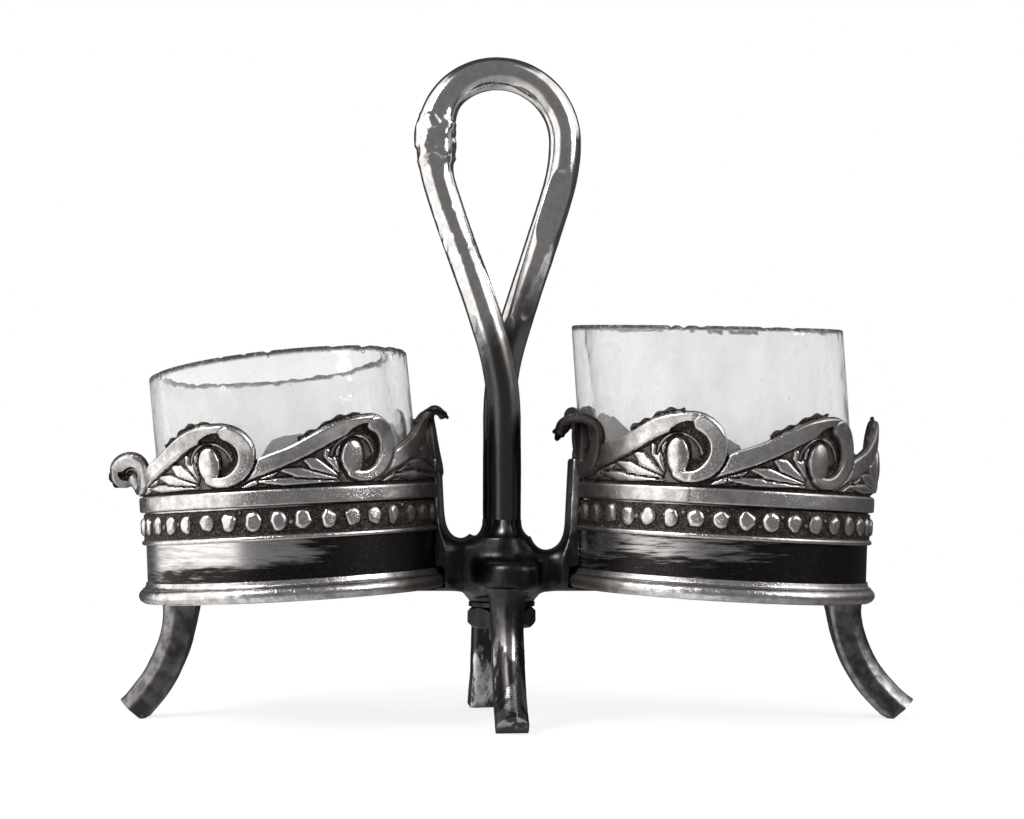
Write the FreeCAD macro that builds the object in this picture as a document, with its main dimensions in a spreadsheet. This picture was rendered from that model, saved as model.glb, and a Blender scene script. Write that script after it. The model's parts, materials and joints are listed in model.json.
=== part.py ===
"""Double cruet stand: two gallery drums with loose glass liners, four bent legs and a bent-rod loop handle.

Frame: +Z up, origin on the table under the handle, the two drums side by side along X, the front towards -Y.
Lengths are in mm and angles in degrees. Every driving size is a cell of the "sizes" spreadsheet.
"""
import FreeCAD, Part

import math
import os
import re

import Sketcher
from FreeCAD import Placement, Rotation, Vector

DRIVING_SIZES = [
    # Drums. Heights named *_foot and *_top are measured up from the drum's underside.
    ("drum_offset", 35.5, "from the stand's axis to a drum's axis, at the drum's underside"),
    ("drum_foot", 20.8, "height of a drum's underside above the table"),
    ("drum_lean", 3.0, "how far each drum leans away from the handle"),
    ("drum_radius", 24.6, "outside of the plain wall"),
    ("drum_wall", 0.7, "sheet thickness of the wall"),
    ("drum_top", 17.4, "height of the plain wall"),
    ("floor_thick", 1.0, "sheet thickness of the floor disc"),
    ("solder_gap", 0.05, "solder line between two joined pieces"),
    ("base_ring_radius", 26.1, "outside of the moulded ring at the drum's foot"),
    ("base_ring_high", 3.3, "height of that ring"),
    ("base_ring_lip", 0.8, "how far the ring laps over the floor disc's edge"),
    # Beaded band.
    ("bead_foot", 9.4, "lower edge of the beaded band"),
    ("bead_band_high", 5.25, "height of the beaded band"),
    ("bead_band_thick", 0.3, "strip thickness behind the beads"),
    ("bead_edge_thick", 0.6, "thickness of the band's lower edge moulding"),
    ("bead_edge_high", 0.9, "height of that moulding"),
    ("bead_radius", 1.45, "radius of one bead, seen from the front"),
    ("bead_rise", 0.55, "how far a bead stands off the strip"),
    ("bead_count", 40, "beads round one drum"),
    ("bead_phase", 2.0, "turn that brings a bead to its place at the front"),
    # Scroll gallery.
    ("gallery_foot", 14.7, "lower edge of the scroll gallery"),
    ("gallery_ring_high", 2.7, "height of the plain ring under the scrolls"),
    ("gallery_ring_thick", 0.55, "thickness of that ring"),
    ("gallery_top", 29.3, "height of the scroll crests"),
    ("gallery_thick", 1.1, "thickness of the scrolls"),
    ("gallery_flare", 1.7, "how far the crests curl outwards"),
    ("scroll_count", 7, "scrolls round one drum"),
    ("scroll_phase", -4.7, "turn that brings a scroll to its place at the front"),
    ("curl_radius", 5.4, "radius of one scroll's curl"),
    ("curl_offset", 7.6, "from the valley's middle to the curl's centre"),
    ("valley_run", 20.6, "length of the valley from the curl to the next crest"),
    ("eye_radius", 1.7, "pierced hole beside a scroll's eye"),
    # Glass liners.
    ("left_liner_radius", 21.8, "outside radius"),
    ("left_liner_high", 36.4, "height at its axis"),
    ("left_liner_lean", 3.0, "lean to the left inside its drum"),
    ("left_liner_pitch", 0.0, "lean to the front inside its drum"),
    ("left_liner_shift", 0.5, "how far its foot has slid back in its drum"),
    ("left_rim_slope", 1.9, "slope at which its rim was cut"),
    ("left_rim_turn", 122.0, "direction of the rim's low side, from the right"),
    ("right_liner_radius", 22.75, "outside radius"),
    ("right_liner_high", 41.2, "height at its axis"),
    ("right_liner_lean", 6.8, "lean to the left inside its drum"),
    ("right_liner_pitch", 2.5, "lean to the front inside its drum"),
    ("right_liner_shift", 0.9, "how far its foot has slid back in its drum"),
    ("right_rim_slope", 6.1, "slope at which its rim was cut"),
    ("right_rim_turn", -32.0, "direction of the rim's low side, from the right"),
    ("liner_wall", 2.4, "glass thickness at the side"),
    ("liner_base", 4.5, "glass thickness at the bottom"),
    # Cast bridge between the drums.
    ("bridge_foot", 21.6, "underside of the bridge above the table"),
    ("bridge_saddle", 28.6, "lowest point of its top, between handle and drum"),
    ("bridge_centre_top", 30.4, "top of its middle, under the handle socket"),
    ("bridge_deep", 12.0, "size from front to back"),
    ("bridge_reach", 26.0, "half length before the drums are cut out of it"),
    ("strap_top", 43.5, "top of the upright straps against the drums"),
    ("left_strap_stand", 0.9, "how far the left strap's inner face stands off the drum's wall"),
    ("right_strap_stand", 1.7, "how far the right strap's inner face stands off the drum's wall"),
    ("saddle_fillet", 3.2, "hollow between the bridge's top, its straps and its middle"),
    ("centre_half", 3.9, "half width of its middle"),
    ("tongue_half", 4.7, "half width of the tongue that carries the front and rear legs"),
    ("tongue_reach", 10.4, "from the stand's axis to the centre of the tongue's round end"),
    ("tongue_foot", 22.3, "underside of the tongue"),
    ("tongue_high", 4.1, "height of the tongue"),
    ("centre_turn", 9.0, "how far handle and tongue are turned about the vertical"),
    # Handle, its socket, stud and nut.
    ("handle_shift", 0.9, "how far handle, tongue and centre legs stand to the left of the stand's middle"),
    ("rod_radius", 2.8, "radius of the handle's rod"),
    ("strand_gap", 0.3, "gap where the two strands run side by side"),
    ("strand_foot", 31.0, "lower end of the strands"),
    ("handle_top", 112.8, "top of the handle"),
    ("handle_lean", 0.5, "how far the loop has bent to the left"),
    ("lean_radius", 120.0, "bend radius of that lean"),
    ("loop_radius", 11.5, "radius over the top of the loop, along the rod's middle"),
    ("flank_radius", 30.0, "radius of the loop's sides below that"),
    ("spread_angle", 17.5, "slope of the strands under the loop"),
    ("spread_radius", 50.0, "bend radius where the strands part"),
    ("merge_run", 22.0, "length over which a strand comes in from its own side to the loop's middle"),
    ("socket_top", 33.2, "top of the socket that holds the strands"),
    ("socket_rim", 0.4, "thickness of its upper edge"),
    ("stud_radius", 2.4, "threaded stud under the socket"),
    ("stud_foot", 14.2, "lower end of the stud"),
    ("stud_clearance", 0.1, "play round the stud"),
    ("boss_radius", 5.4, "round boss under the bridge"),
    ("boss_foot", 19.4, "underside of that boss"),
    ("washer_radius", 5.6, "outside radius"),
    ("washer_thick", 0.7, "thickness"),
    ("nut_radius", 5.9, "to the nut's corners"),
    ("nut_high", 3.5, "height of the nut"),
    ("nut_bevel", 0.9, "height of the bevel at both its ends"),
    ("nut_turn", 12.0, "how far the nut is turned about the vertical"),
    # Legs.
    ("leg_wide", 5.2, "width across the leg"),
    ("leg_thick", 5.4, "thickness in the plane of its bend"),
    ("leg_shoulder", 0.6, "where the flat sides turn into the rounded outer face"),
    ("leg_bend", 23.2, "radius of the bend"),
    ("bend_start", 19.9, "height where a leg starts to bend"),
    ("bend_overrun", 1.5, "how far the bar is bent on below the table, before it is cut off"),
    ("left_leg_root", 55.2, "from the stand's middle to the left leg's root"),
    ("right_leg_root", 57.0, "from the stand's middle to the right leg's root"),
    ("side_leg_top", 20.6, "top of a side leg before the drum is cut out of it"),
    ("centre_leg_root", 11.4, "from the handle's axis to a front or rear leg's root"),
    ("front_leg_turn", 5.2, "how far the front leg is turned about the handle's axis"),
    ("rear_leg_turn", 14.0, "how far the rear leg is turned about the handle's axis"),
    ("rear_leg_bend", 60.0, "radius of the rear leg's bend, which has been straightened"),
    ("centre_leg_top", 22.25, "top of a front or rear leg"),
    ("root_radius", 4.5, "radius of the flared root"),
    ("root_high", 3.2, "height of the flare"),
    ("toe_reach", 9.2, "from a leg's root to the middle of its cut end"),
    ("rear_toe_reach", 3.0, "the same for the rear leg"),
    ("toe_height", 1.25, "height of the middle of the cut end"),
    ("toe_slope", 38.0, "slope of the cut end"),
    ("rear_toe_height", 0.4, "height of the middle of the rear leg's cut end"),
    ("rear_toe_slope", 14.0, "slope of the rear leg's cut end"),
    ("trim_reach", 12.0, "how far the space cut away under a toe reaches to each side"),
]

LEFT, RIGHT = -1, 1
TO_REAR, TO_LEFT, TO_FRONT = (Placement(Vector(), Rotation(Vector(0, 0, 1), turn)) for turn in (90, 180, 270))

doc = FreeCAD.newDocument("cruet_stand")
sheet = doc.addObject("Spreadsheet::Sheet", "sizes")
for row, (alias, size, meaning) in enumerate(DRIVING_SIZES, start=1):
    sheet.set(f"A{row}", alias)
    sheet.set(f"B{row}", str(size))
    sheet.set(f"C{row}", meaning)
    sheet.setAlias(f"B{row}", alias)
doc.recompute()
ALIASES = {alias for alias, _, _ in DRIVING_SIZES}


def size(alias):
    """A driving size as a number."""
    return float(sheet.get(alias))


def cells(formula):
    """A formula in aliases, written as an expression on the sheet's cells. Its angles are in degrees."""
    named = re.sub(r"[a-z][a-z_]+", lambda m: f"sizes.{m[0]}" if m[0] in ALIASES else m[0], formula)
    return re.sub(r"tan\(([^()]+)\)", r"tan(\1 * 1 deg)", named)


def number(formula):
    """What a formula in aliases comes to."""
    result = sheet.evalExpression(cells(formula))
    return float(getattr(result, "Value", result))


# ---- PartDesign helpers -------------------------------------------------------------------------


def new_body(label):
    body = doc.addObject("PartDesign::Body", label)
    body.Label = label
    return body


def origin_feature(body, role):
    return next(f for f in body.Origin.OriginFeatures if f.Role == role)


def new_sketch(body, name, role, height=None):
    """A sketch on one of the body's origin planes, raised by a formula if asked."""
    sketch = body.newObject("Sketcher::SketchObject", name)
    sketch.AttachmentSupport = (origin_feature(body, role), [""])
    sketch.MapMode = "FlatFace"
    if height:
        sketch.setExpression("AttachmentOffset.Base.z", cells(height))
    return sketch


def pin_point(sketch, geometry, end, x, y):
    """Holds one end of a sketch curve at the place that two formulas give."""
    for kind, formula in (("DistanceX", x), ("DistanceY", y)):
        index = sketch.addConstraint(Sketcher.Constraint(kind, -1, 1, geometry, end, number(formula)))
        sketch.setExpression(f"Constraints[{index}]", cells(formula))


def outline(sketch, corners):
    """A closed outline of corners (x, y), or (x, y, (mid x, mid y)) for an arc through mid to the next corner."""
    places = [Vector(number(c[0]), number(c[1]), 0) for c in corners]
    for i, corner in enumerate(corners):
        after = (i + 1) % len(corners)
        if len(corner) == 3:
            middle = Vector(number(corner[2][0]), number(corner[2][1]), 0)
            arc = Part.Arc(places[i], middle, places[after])
            edge = sketch.addGeometry(arc)
            start, finish = (1, 2) if sketch.getPoint(edge, 1).distanceToPoint(places[i]) < 1e-6 else (2, 1)
            pin_point(sketch, edge, start, corner[0], corner[1])
            pin_point(sketch, edge, finish, corners[after][0], corners[after][1])
        else:
            edge = sketch.addGeometry(Part.LineSegment(places[i], places[after]))
            pin_point(sketch, edge, 1, corner[0], corner[1])
            pin_point(sketch, edge, 2, corners[after][0], corners[after][1])
    return sketch


def circle(sketch, x, y, radius):
    edge = sketch.addGeometry(Part.Circle(Vector(number(x), number(y), 0), Vector(0, 0, 1), number(radius)))
    pin_point(sketch, edge, 3, x, y)
    index = sketch.addConstraint(Sketcher.Constraint("Radius", edge, number(radius)))
    sketch.setExpression(f"Constraints[{index}]", cells(radius))
    return sketch


def revolve(body, name, corners):
    """A ring or cup turned about the body's vertical axis."""
    sketch = outline(new_sketch(body, f"{name}_outline", "XZ_Plane"), corners)
    feature = body.newObject("PartDesign::Revolution", name)
    feature.Profile = sketch
    feature.ReferenceAxis = (sketch, ["V_Axis"])
    feature.Angle = 360
    return feature


def pad(body, name, sketch, length, midplane=False):
    feature = body.newObject("PartDesign::Pad", name)
    feature.Profile = sketch
    feature.setExpression("Length", cells(length))
    feature.Midplane = midplane
    return feature


def pocket_to_front(body, name, sketch, length):
    """A cut from the XZ plane towards the front, which must remove something."""
    doc.recompute()
    before = body.Shape.Volume
    feature = body.newObject("PartDesign::Pocket", name)
    feature.Profile = sketch
    feature.Reversed = True
    feature.setExpression("Length", cells(length))
    doc.recompute()
    if body.Shape.Volume >= before:
        raise RuntimeError(f"{name} cuts nothing")
    return feature


def ring_pattern(body, name, feature, count):
    """Repeats a feature evenly round the body's vertical axis."""
    pattern = body.newObject("PartDesign::PolarPattern", name)
    pattern.Originals = [feature]
    pattern.Axis = (origin_feature(body, "Z_Axis"), [""])
    pattern.Angle = 360
    pattern.setExpression("Occurrences", cells(count))
    body.Tip = pattern
    return pattern


def edges_where(shape, test):
    return [f"Edge{i}" for i, edge in enumerate(shape.Edges, start=1) if test(edge)]


def fillet(body, name, radius, test):
    """Rounds the edges of the body so far that pass a test."""
    doc.recompute()
    base = body.Tip
    feature = body.newObject("PartDesign::Fillet", name)
    feature.Base = (base, edges_where(base.Shape, test))
    feature.setExpression("Radius", cells(radius))
    return feature


def ring_edge_at(radius, height):
    """A test for a round edge of this radius about Z at this height."""
    def test(edge):
        curve = edge.Curve
        return (isinstance(curve, Part.Circle) and abs(curve.Radius - radius) < 1e-3
                and abs(curve.Center.z - height) < 1e-3)
    return test


# ---- Drums ---------------------------------------------------------------------------------------


def drum_frame(side):
    """Where a drum stands: foot centre beside the handle, leaning away from it."""
    foot = Vector(side * size("drum_offset"), 0, size("drum_foot"))
    return Placement(foot, Rotation(Vector(0, 1, 0), side * size("drum_lean")))


def make_floor(label, side):
    body = new_body(label)
    edge = "base_ring_radius - base_ring_lip - solder_gap"
    revolve(body, f"{label}_disc", [("0", "0"), (edge, "0"), (edge, "floor_thick"), ("0", "floor_thick")])
    body.Placement = drum_frame(side)
    return body


def make_drum(label, side):
    body = new_body(label)
    inside, foot = "drum_radius - drum_wall", "floor_thick + solder_gap"
    corners = [(inside, foot), ("drum_radius", foot), ("drum_radius", "drum_top"), (inside, "drum_top")]
    revolve(body, f"{label}_wall", corners)
    body.Placement = drum_frame(side)
    return body


def make_base_ring(label, side):
    """The moulded foot ring: rebated for the floor disc, half-round outside, hollowed to the wall above."""
    body = new_body(label)
    bore, lip = "drum_radius + solder_gap", "base_ring_radius - base_ring_lip"
    belly = "base_ring_radius - 0.35"
    corners = [
        (lip, "0"),
        (belly, "0", ("base_ring_radius", "base_ring_high * 0.38")),
        (belly, "base_ring_high * 0.76"),
        ("drum_radius + 0.75", "base_ring_high * 0.8", ("drum_radius + 0.45", "base_ring_high * 0.86")),
        ("drum_radius + 0.3", "base_ring_high"),
        (bore, "base_ring_high"),
        (bore, "floor_thick + solder_gap"),
        (lip, "floor_thick + solder_gap"),
    ]
    revolve(body, f"{label}_moulding", corners)
    body.Placement = drum_frame(side)
    return body


def make_bridge_space():
    """The space of the bridge's arms and straps, with the solder gap: bands and galleries are open there."""
    space = doc.addObject("Part::Box", "bridge_space")
    space.setExpression("Length", cells("2 * bridge_reach"))
    space.setExpression("Width", cells("bridge_deep + 2 * solder_gap"))
    space.setExpression("Height", cells("strap_top + solder_gap - bridge_foot"))
    space.setExpression("Placement.Base.x", cells("-bridge_reach"))
    space.setExpression("Placement.Base.y", cells("-bridge_deep / 2 - solder_gap"))
    space.setExpression("Placement.Base.z", cells("bridge_foot"))
    return space


def make_bead_band(label, side, opening):
    """A strip with a moulded lower edge and a row of domed beads, open where the bridge's strap stands."""
    body = new_body(f"{label}_blank")
    bore = "drum_radius + solder_gap"
    face = "drum_radius + solder_gap + bead_band_thick"
    edge = "drum_radius + solder_gap + bead_edge_thick"
    top = "bead_foot + bead_band_high"
    revolve(body, f"{label}_strip", [
        (bore, "bead_foot"),
        (edge, "bead_foot"),
        (edge, "bead_foot + bead_edge_high"),
        (face, "bead_foot + bead_edge_high"),
        (face, top),
        (bore, top),
    ])
    middle = "bead_foot + (bead_band_high + bead_edge_high) / 2"
    root = "drum_radius + solder_gap + bead_band_thick / 2"
    sketch = outline(new_sketch(body, f"{label}_bead_outline", "XZ_Plane"), [
        (root, middle),
        (f"{face} + bead_rise", middle, (f"{face} + bead_rise * 0.7", f"{middle} + bead_radius * 0.66")),
        (face, f"{middle} + bead_radius"),
        (root, f"{middle} + bead_radius"),
    ])
    axis = Part.LineSegment(Vector(0, number(middle), 0), Vector(number(root), number(middle), 0))
    line = sketch.addGeometry(axis, True)
    pin_point(sketch, line, 1, "0", middle)
    pin_point(sketch, line, 2, root, middle)
    bead = body.newObject("PartDesign::Revolution", f"{label}_bead")
    bead.Profile = sketch
    bead.ReferenceAxis = (sketch, ["Axis0"])
    bead.Angle = 360
    ring_pattern(body, f"{label}_beads", bead, "bead_count")
    body.Placement = drum_frame(side) * Placement(Vector(), Rotation(Vector(0, 0, 1), size("bead_phase")))
    return cut_back(label, body, opening)


def make_gallery(label, side, opening):
    """A plain ring with flared running scrolls: a band cut down between its curls, pierced at each eye."""
    body = new_body(f"{label}_blank")
    bore = "drum_radius + solder_gap"
    ring = "drum_radius + solder_gap + gallery_ring_thick"
    face = "drum_radius + solder_gap + gallery_thick"
    flared = "drum_radius + solder_gap + gallery_flare"
    ring_top = "gallery_foot + gallery_ring_high"
    bend = f"({ring_top}) * 0.4 + gallery_top * 0.6"
    revolve(body, f"{label}_band", [
        (bore, "gallery_foot"),
        (ring, "gallery_foot"),
        (ring, ring_top),
        (face, ring_top, (f"{face} + gallery_flare * 0.2", bend)),
        (f"{flared} + gallery_thick", "gallery_top"),
        (flared, "gallery_top", (f"{bore} + gallery_flare * 0.2", bend)),
        (bore, ring_top),
    ])
    curl_height = "gallery_top - curl_radius"
    curl_side = "curl_radius * 0.97 - curl_offset"
    valley = outline(new_sketch(body, f"{label}_valley_outline", "XZ_Plane"), [
        ("-curl_offset", "gallery_top",
         ("curl_radius * 0.7 - curl_offset", f"{curl_height} + curl_radius * 0.714")),
        (curl_side, f"{curl_height} - curl_radius * 0.243"),
        ("valley_run - curl_offset", "gallery_top"),
        ("valley_run - curl_offset", "gallery_top + 1"),
        ("-curl_offset", "gallery_top + 1"),
    ])
    cut = pocket_to_front(body, f"{label}_valley", valley, "drum_radius * 2")
    ring_pattern(body, f"{label}_valleys", cut, "scroll_count")
    eye = new_sketch(body, f"{label}_eye_outline", "XZ_Plane")
    circle(eye, "0.6 - curl_offset", curl_height, "eye_radius")
    pierced = pocket_to_front(body, f"{label}_eye", eye, "drum_radius * 2")
    ring_pattern(body, f"{label}_eyes", pierced, "scroll_count")
    body.Placement = drum_frame(side) * Placement(Vector(), Rotation(Vector(0, 0, 1), size("scroll_phase")))
    return cut_back(label, body, opening)


def make_liner(label, side, word):
    """A glass cup with a thick bottom and a rim cut on the slant, leaning on the edge of its foot."""
    body = new_body(label)
    radius, high, shift = f"{word}_liner_radius", f"{word}_liner_high", f"{word}_liner_shift"
    slope, inside = f"tan({word}_rim_slope)", f"{word}_liner_radius - liner_wall"
    blank_top = f"{high} + {radius} * {slope} + 1"
    revolve(body, f"{label}_cup", [
        ("0", "0"),
        (radius, "0"),
        (radius, blank_top),
        (inside, blank_top),
        (inside, "liner_base"),
        ("0", "liner_base"),
    ])
    fillet(body, f"{label}_heel", "liner_wall * 0.4", ring_edge_at(size(radius), 0))
    fillet(body, f"{label}_well", "liner_wall * 1.2", ring_edge_at(number(inside), size("liner_base")))
    doc.recompute()
    sketch = new_sketch(body, f"{label}_rim_outline", "XZ_Plane")
    sketch.AttachmentOffset = Placement(Vector(), Rotation(Vector(0, 1, 0), size(f"{word}_rim_turn")))
    reach = f"({radius} + 2)"
    outline(sketch, [
        (f"-{reach}", f"{high} + {reach} * {slope}"),
        (reach, f"{high} - {reach} * {slope}"),
        (reach, f"{blank_top} + 1"),
        (f"-{reach}", f"{blank_top} + 1"),
    ])
    rim = body.newObject("PartDesign::Pocket", f"{label}_rim")
    rim.Profile = sketch
    rim.Midplane = True
    rim.setExpression("Length", cells(f"4 * {radius}"))
    doc.recompute()
    middle = size(high)
    fillet(body, f"{label}_lips", "liner_wall * 0.12",
           lambda edge: edge.CenterOfMass.z > middle / 2 and edge.Length > 2 * size(radius))
    leftwards = Rotation(Vector(0, 1, 0), -size(f"{word}_liner_lean"))
    tilt = Rotation(Vector(1, 0, 0), size(f"{word}_liner_pitch")) * leftwards
    up = tilt.multVec(Vector(0, 0, 1))
    sideways = math.hypot(up.x, up.y)
    back = Vector(-up.x, -up.y, 0) * (size(shift) / sideways)
    raised = size("floor_thick") + size("solder_gap") + size(radius) * sideways
    body.Placement = drum_frame(side) * Placement(back + Vector(0, 0, raised), tilt)
    return body


def make_drum_cutter(name, side):
    """The space of a drum's wall and base ring, with the solder gap: what bridge and legs are cut back from."""
    body = new_body(name)
    base, wall = "base_ring_radius + solder_gap", "drum_radius + solder_gap"
    revolve(body, f"{name}_space", [
        ("0", "-solder_gap"),
        (base, "-solder_gap"),
        (base, "base_ring_high + solder_gap"),
        (wall, "base_ring_high + solder_gap"),
        (wall, "gallery_top"),
        ("0", "gallery_top"),
    ])
    body.Placement = drum_frame(side)
    return body


# ---- Bridge --------------------------------------------------------------------------------------


def make_bridge(label, cutters):
    """The cast cross: arms with upright straps for the drums, a turned tongue for the centre legs, and a boss."""
    blank = new_body(f"{label}_blank")
    wall = "drum_offset + (bridge_saddle - drum_foot) * tan(drum_lean) - drum_radius"
    lean = "(strap_top - bridge_saddle) * tan(drum_lean)"
    left, right = f"left_strap_stand - ({wall})", f"{wall} - right_strap_stand"
    middle_left, middle_right = "-handle_shift - centre_half", "centre_half - handle_shift"
    corners = [
        ("-bridge_reach", "bridge_foot"),
        ("bridge_reach", "bridge_foot"),
        ("bridge_reach", "strap_top"),
        (f"{right} + {lean}", "strap_top"),
        (right, "bridge_saddle"),
        (middle_right, "bridge_saddle"),
        (middle_right, "bridge_centre_top"),
        (middle_left, "bridge_centre_top"),
        (middle_left, "bridge_saddle"),
        (left, "bridge_saddle"),
        (f"{left} - {lean}", "strap_top"),
        ("-bridge_reach", "strap_top"),
    ]
    profile = outline(new_sketch(blank, f"{label}_profile", "XZ_Plane"), corners)
    pad(blank, f"{label}_arms", profile, "bridge_deep", midplane=True)

    def hollows_at(*places):
        """A test for the edges that run front to back where the saddle meets an upright."""
        across, saddle = [number(place) for place in places], size("bridge_saddle")

        def test(edge):
            centre = edge.CenterOfMass
            return (abs(edge.tangentAt(edge.FirstParameter).y) > 0.9 and abs(centre.z - saddle) < 1e-3
                    and any(abs(centre.x - x) < 1e-3 for x in across))
        return test

    fillet(blank, f"{label}_strap_hollows", "saddle_fillet", hollows_at(left, right))
    fillet(blank, f"{label}_socket_hollows", "(bridge_centre_top - bridge_saddle) * 0.9",
           hollows_at(middle_left, middle_right))

    slot = new_sketch(blank, f"{label}_tongue_outline", "XY_Plane", "tongue_foot")
    turned = Rotation(Vector(0, 0, 1), size("centre_turn"))
    slot.AttachmentOffset = Placement(Vector(-size("handle_shift"), 0, size("tongue_foot")), turned)
    outline(slot, [
        ("tongue_half", "-tongue_reach"),
        ("tongue_half", "tongue_reach", ("0", "tongue_reach + tongue_half")),
        ("-tongue_half", "tongue_reach"),
        ("-tongue_half", "-tongue_reach", ("0", "-tongue_reach - tongue_half")),
    ])
    pad(blank, f"{label}_tongue", slot, "tongue_high")
    boss = circle(new_sketch(blank, f"{label}_boss_outline", "XY_Plane", "boss_foot"),
                  "-handle_shift", "0", "boss_radius")
    pad(blank, f"{label}_boss", boss, "tongue_foot + 1 - boss_foot")
    doc.recompute()
    bore = circle(new_sketch(blank, f"{label}_bore_outline", "XY_Plane", "boss_foot - 1"),
                  "-handle_shift", "0", "stud_radius + stud_clearance")
    drilled = blank.newObject("PartDesign::Pocket", f"{label}_bore")
    drilled.Profile = bore
    drilled.Reversed = True
    drilled.Type = "ThroughAll"
    doc.recompute()
    first = cut_back(f"{label}_right_cut", blank, cutters[1])
    return cut_back(label, first, cutters[0])


def cut_back(label, base, tool):
    cut = doc.addObject("Part::Cut", label)
    cut.Label = label
    cut.Base = base
    cut.Tool = tool
    return cut


# ---- Handle, socket, washer and nut ----------------------------------------------------------------


def handle_frame(turn="centre_turn", height="0"):
    """The handle's own axis, turned about the vertical."""
    return Placement(Vector(-size("handle_shift"), 0, number(height)), Rotation(Vector(0, 0, 1), size(turn)))


class Bender:
    """A rod's middle line, bent step by step: where it has got to, which way it points and the edges so far."""

    def __init__(self, start, ahead):
        self.at, self.ahead = start, ahead
        self.edges = []

    def straight(self, length):
        end = self.at + self.ahead * length
        self.edges.append(Part.makeLine(self.at, end))
        self.at = end

    def bend(self, towards, radius, degrees):
        """Turns towards a direction square to the way ahead, and returns that direction after the turn."""
        start, ahead = self.at, self.ahead

        def point(angle):
            return start + ahead * (radius * math.sin(angle)) + towards * (radius * (1 - math.cos(angle)))

        angle = math.radians(degrees)
        self.edges.append(Part.Arc(start, point(angle / 2), point(angle)).toShape())
        self.at = point(angle)
        self.ahead = ahead * math.cos(angle) + towards * math.sin(angle)
        return towards * math.cos(angle) - ahead * math.sin(angle)


def flank_length():
    """Length of the straight run between a strand's outward bend and the loop's side."""
    slope = math.radians(size("spread_angle"))
    bends = (size("spread_radius") + size("flank_radius")) * (1 - math.cos(slope))
    return (size("loop_radius") - bends) / math.sin(slope)


def strand(side, start):
    """Half the handle, from a strand's foot to the top of the loop. The left strand is the one in front."""
    slope, lean = math.radians(size("spread_angle")), math.radians(size("handle_lean"))
    rise = ((size("spread_radius") + size("flank_radius")) * math.sin(slope) + flank_length() * math.cos(slope)
            + size("loop_radius")) * math.cos(lean) + size("lean_radius") * math.sin(lean)
    rod = Bender(start, Vector(0, 0, 1))
    rod.straight(size("handle_top") - size("rod_radius") - rise - start.z)
    leftwards = rod.bend(Vector(-1, 0, 0), size("lean_radius"), size("handle_lean"))
    outwards = leftwards * -side
    outwards = rod.bend(outwards, size("spread_radius"), size("spread_angle"))
    run = size("merge_run")
    inwards = Vector(0, -math.copysign(1, start.y), 0)
    bend_angle = 2 * math.atan2(abs(start.y), run)
    bend_radius = run / 2 / math.sin(bend_angle)
    rod.straight((flank_length() - run) / 2)
    inwards = rod.bend(inwards, bend_radius, math.degrees(bend_angle))
    rod.bend(inwards * -1, bend_radius, math.degrees(bend_angle))
    rod.straight((flank_length() - run) / 2)
    inwards = rod.bend(outwards * -1, size("flank_radius"), size("spread_angle"))
    rod.bend(inwards, size("loop_radius"), 90)
    return rod


def handle_path():
    """The whole rod: up the front strand, over the loop from left to right, down the rear strand."""
    apart = size("rod_radius") + size("strand_gap") / 2
    front = strand(LEFT, Vector(0, -apart, size("strand_foot")))
    rear = strand(RIGHT, Vector(0, apart, size("strand_foot")))
    if front.at.distanceToPoint(rear.at) > 1e-6:
        raise RuntimeError("the handle's two halves don't meet")
    return Part.Wire(front.edges + rear.edges[::-1])


def make_handle(label):
    path = doc.addObject("Part::Feature", f"{label}_path")
    path.Shape = handle_path()
    section = doc.addObject("Part::Circle", f"{label}_section")
    section.setExpression("Radius", cells("rod_radius"))
    section.Placement = Placement(path.Shape.OrderedVertexes[0].Point, Rotation())
    sweep = doc.addObject("Part::Sweep", label)
    sweep.Label = label
    sweep.Sections = [section]
    sweep.Spine = (path, [f"Edge{i}" for i in range(1, len(path.Shape.Edges) + 1)])
    sweep.Solid = True
    sweep.Frenet = False
    sweep.Placement = handle_frame()
    return sweep


def ellipse(sketch, half_x, half_y):
    """An ellipse round the sketch's origin, longer along Y, with both half axes bound to formulas."""
    shape = Part.Ellipse(Vector(0, number(half_y), 0), Vector(number(half_x), 0, 0), Vector())
    edge = sketch.addGeometry(shape)
    sketch.exposeInternalGeometry(edge)
    pin_point(sketch, edge, 3, "0", "0")
    for axis_line, kind, formula in ((1, "DistanceY", half_y), (2, "DistanceX", half_x)):
        index = sketch.addConstraint(Sketcher.Constraint(
            "Distance", edge + axis_line, 2 * number(formula)))
        sketch.setExpression(f"Constraints[{index}]", cells(f"2 * ({formula})"))
    sketch.addConstraint(Sketcher.Constraint("Vertical", edge + 1))
    return sketch


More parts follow.
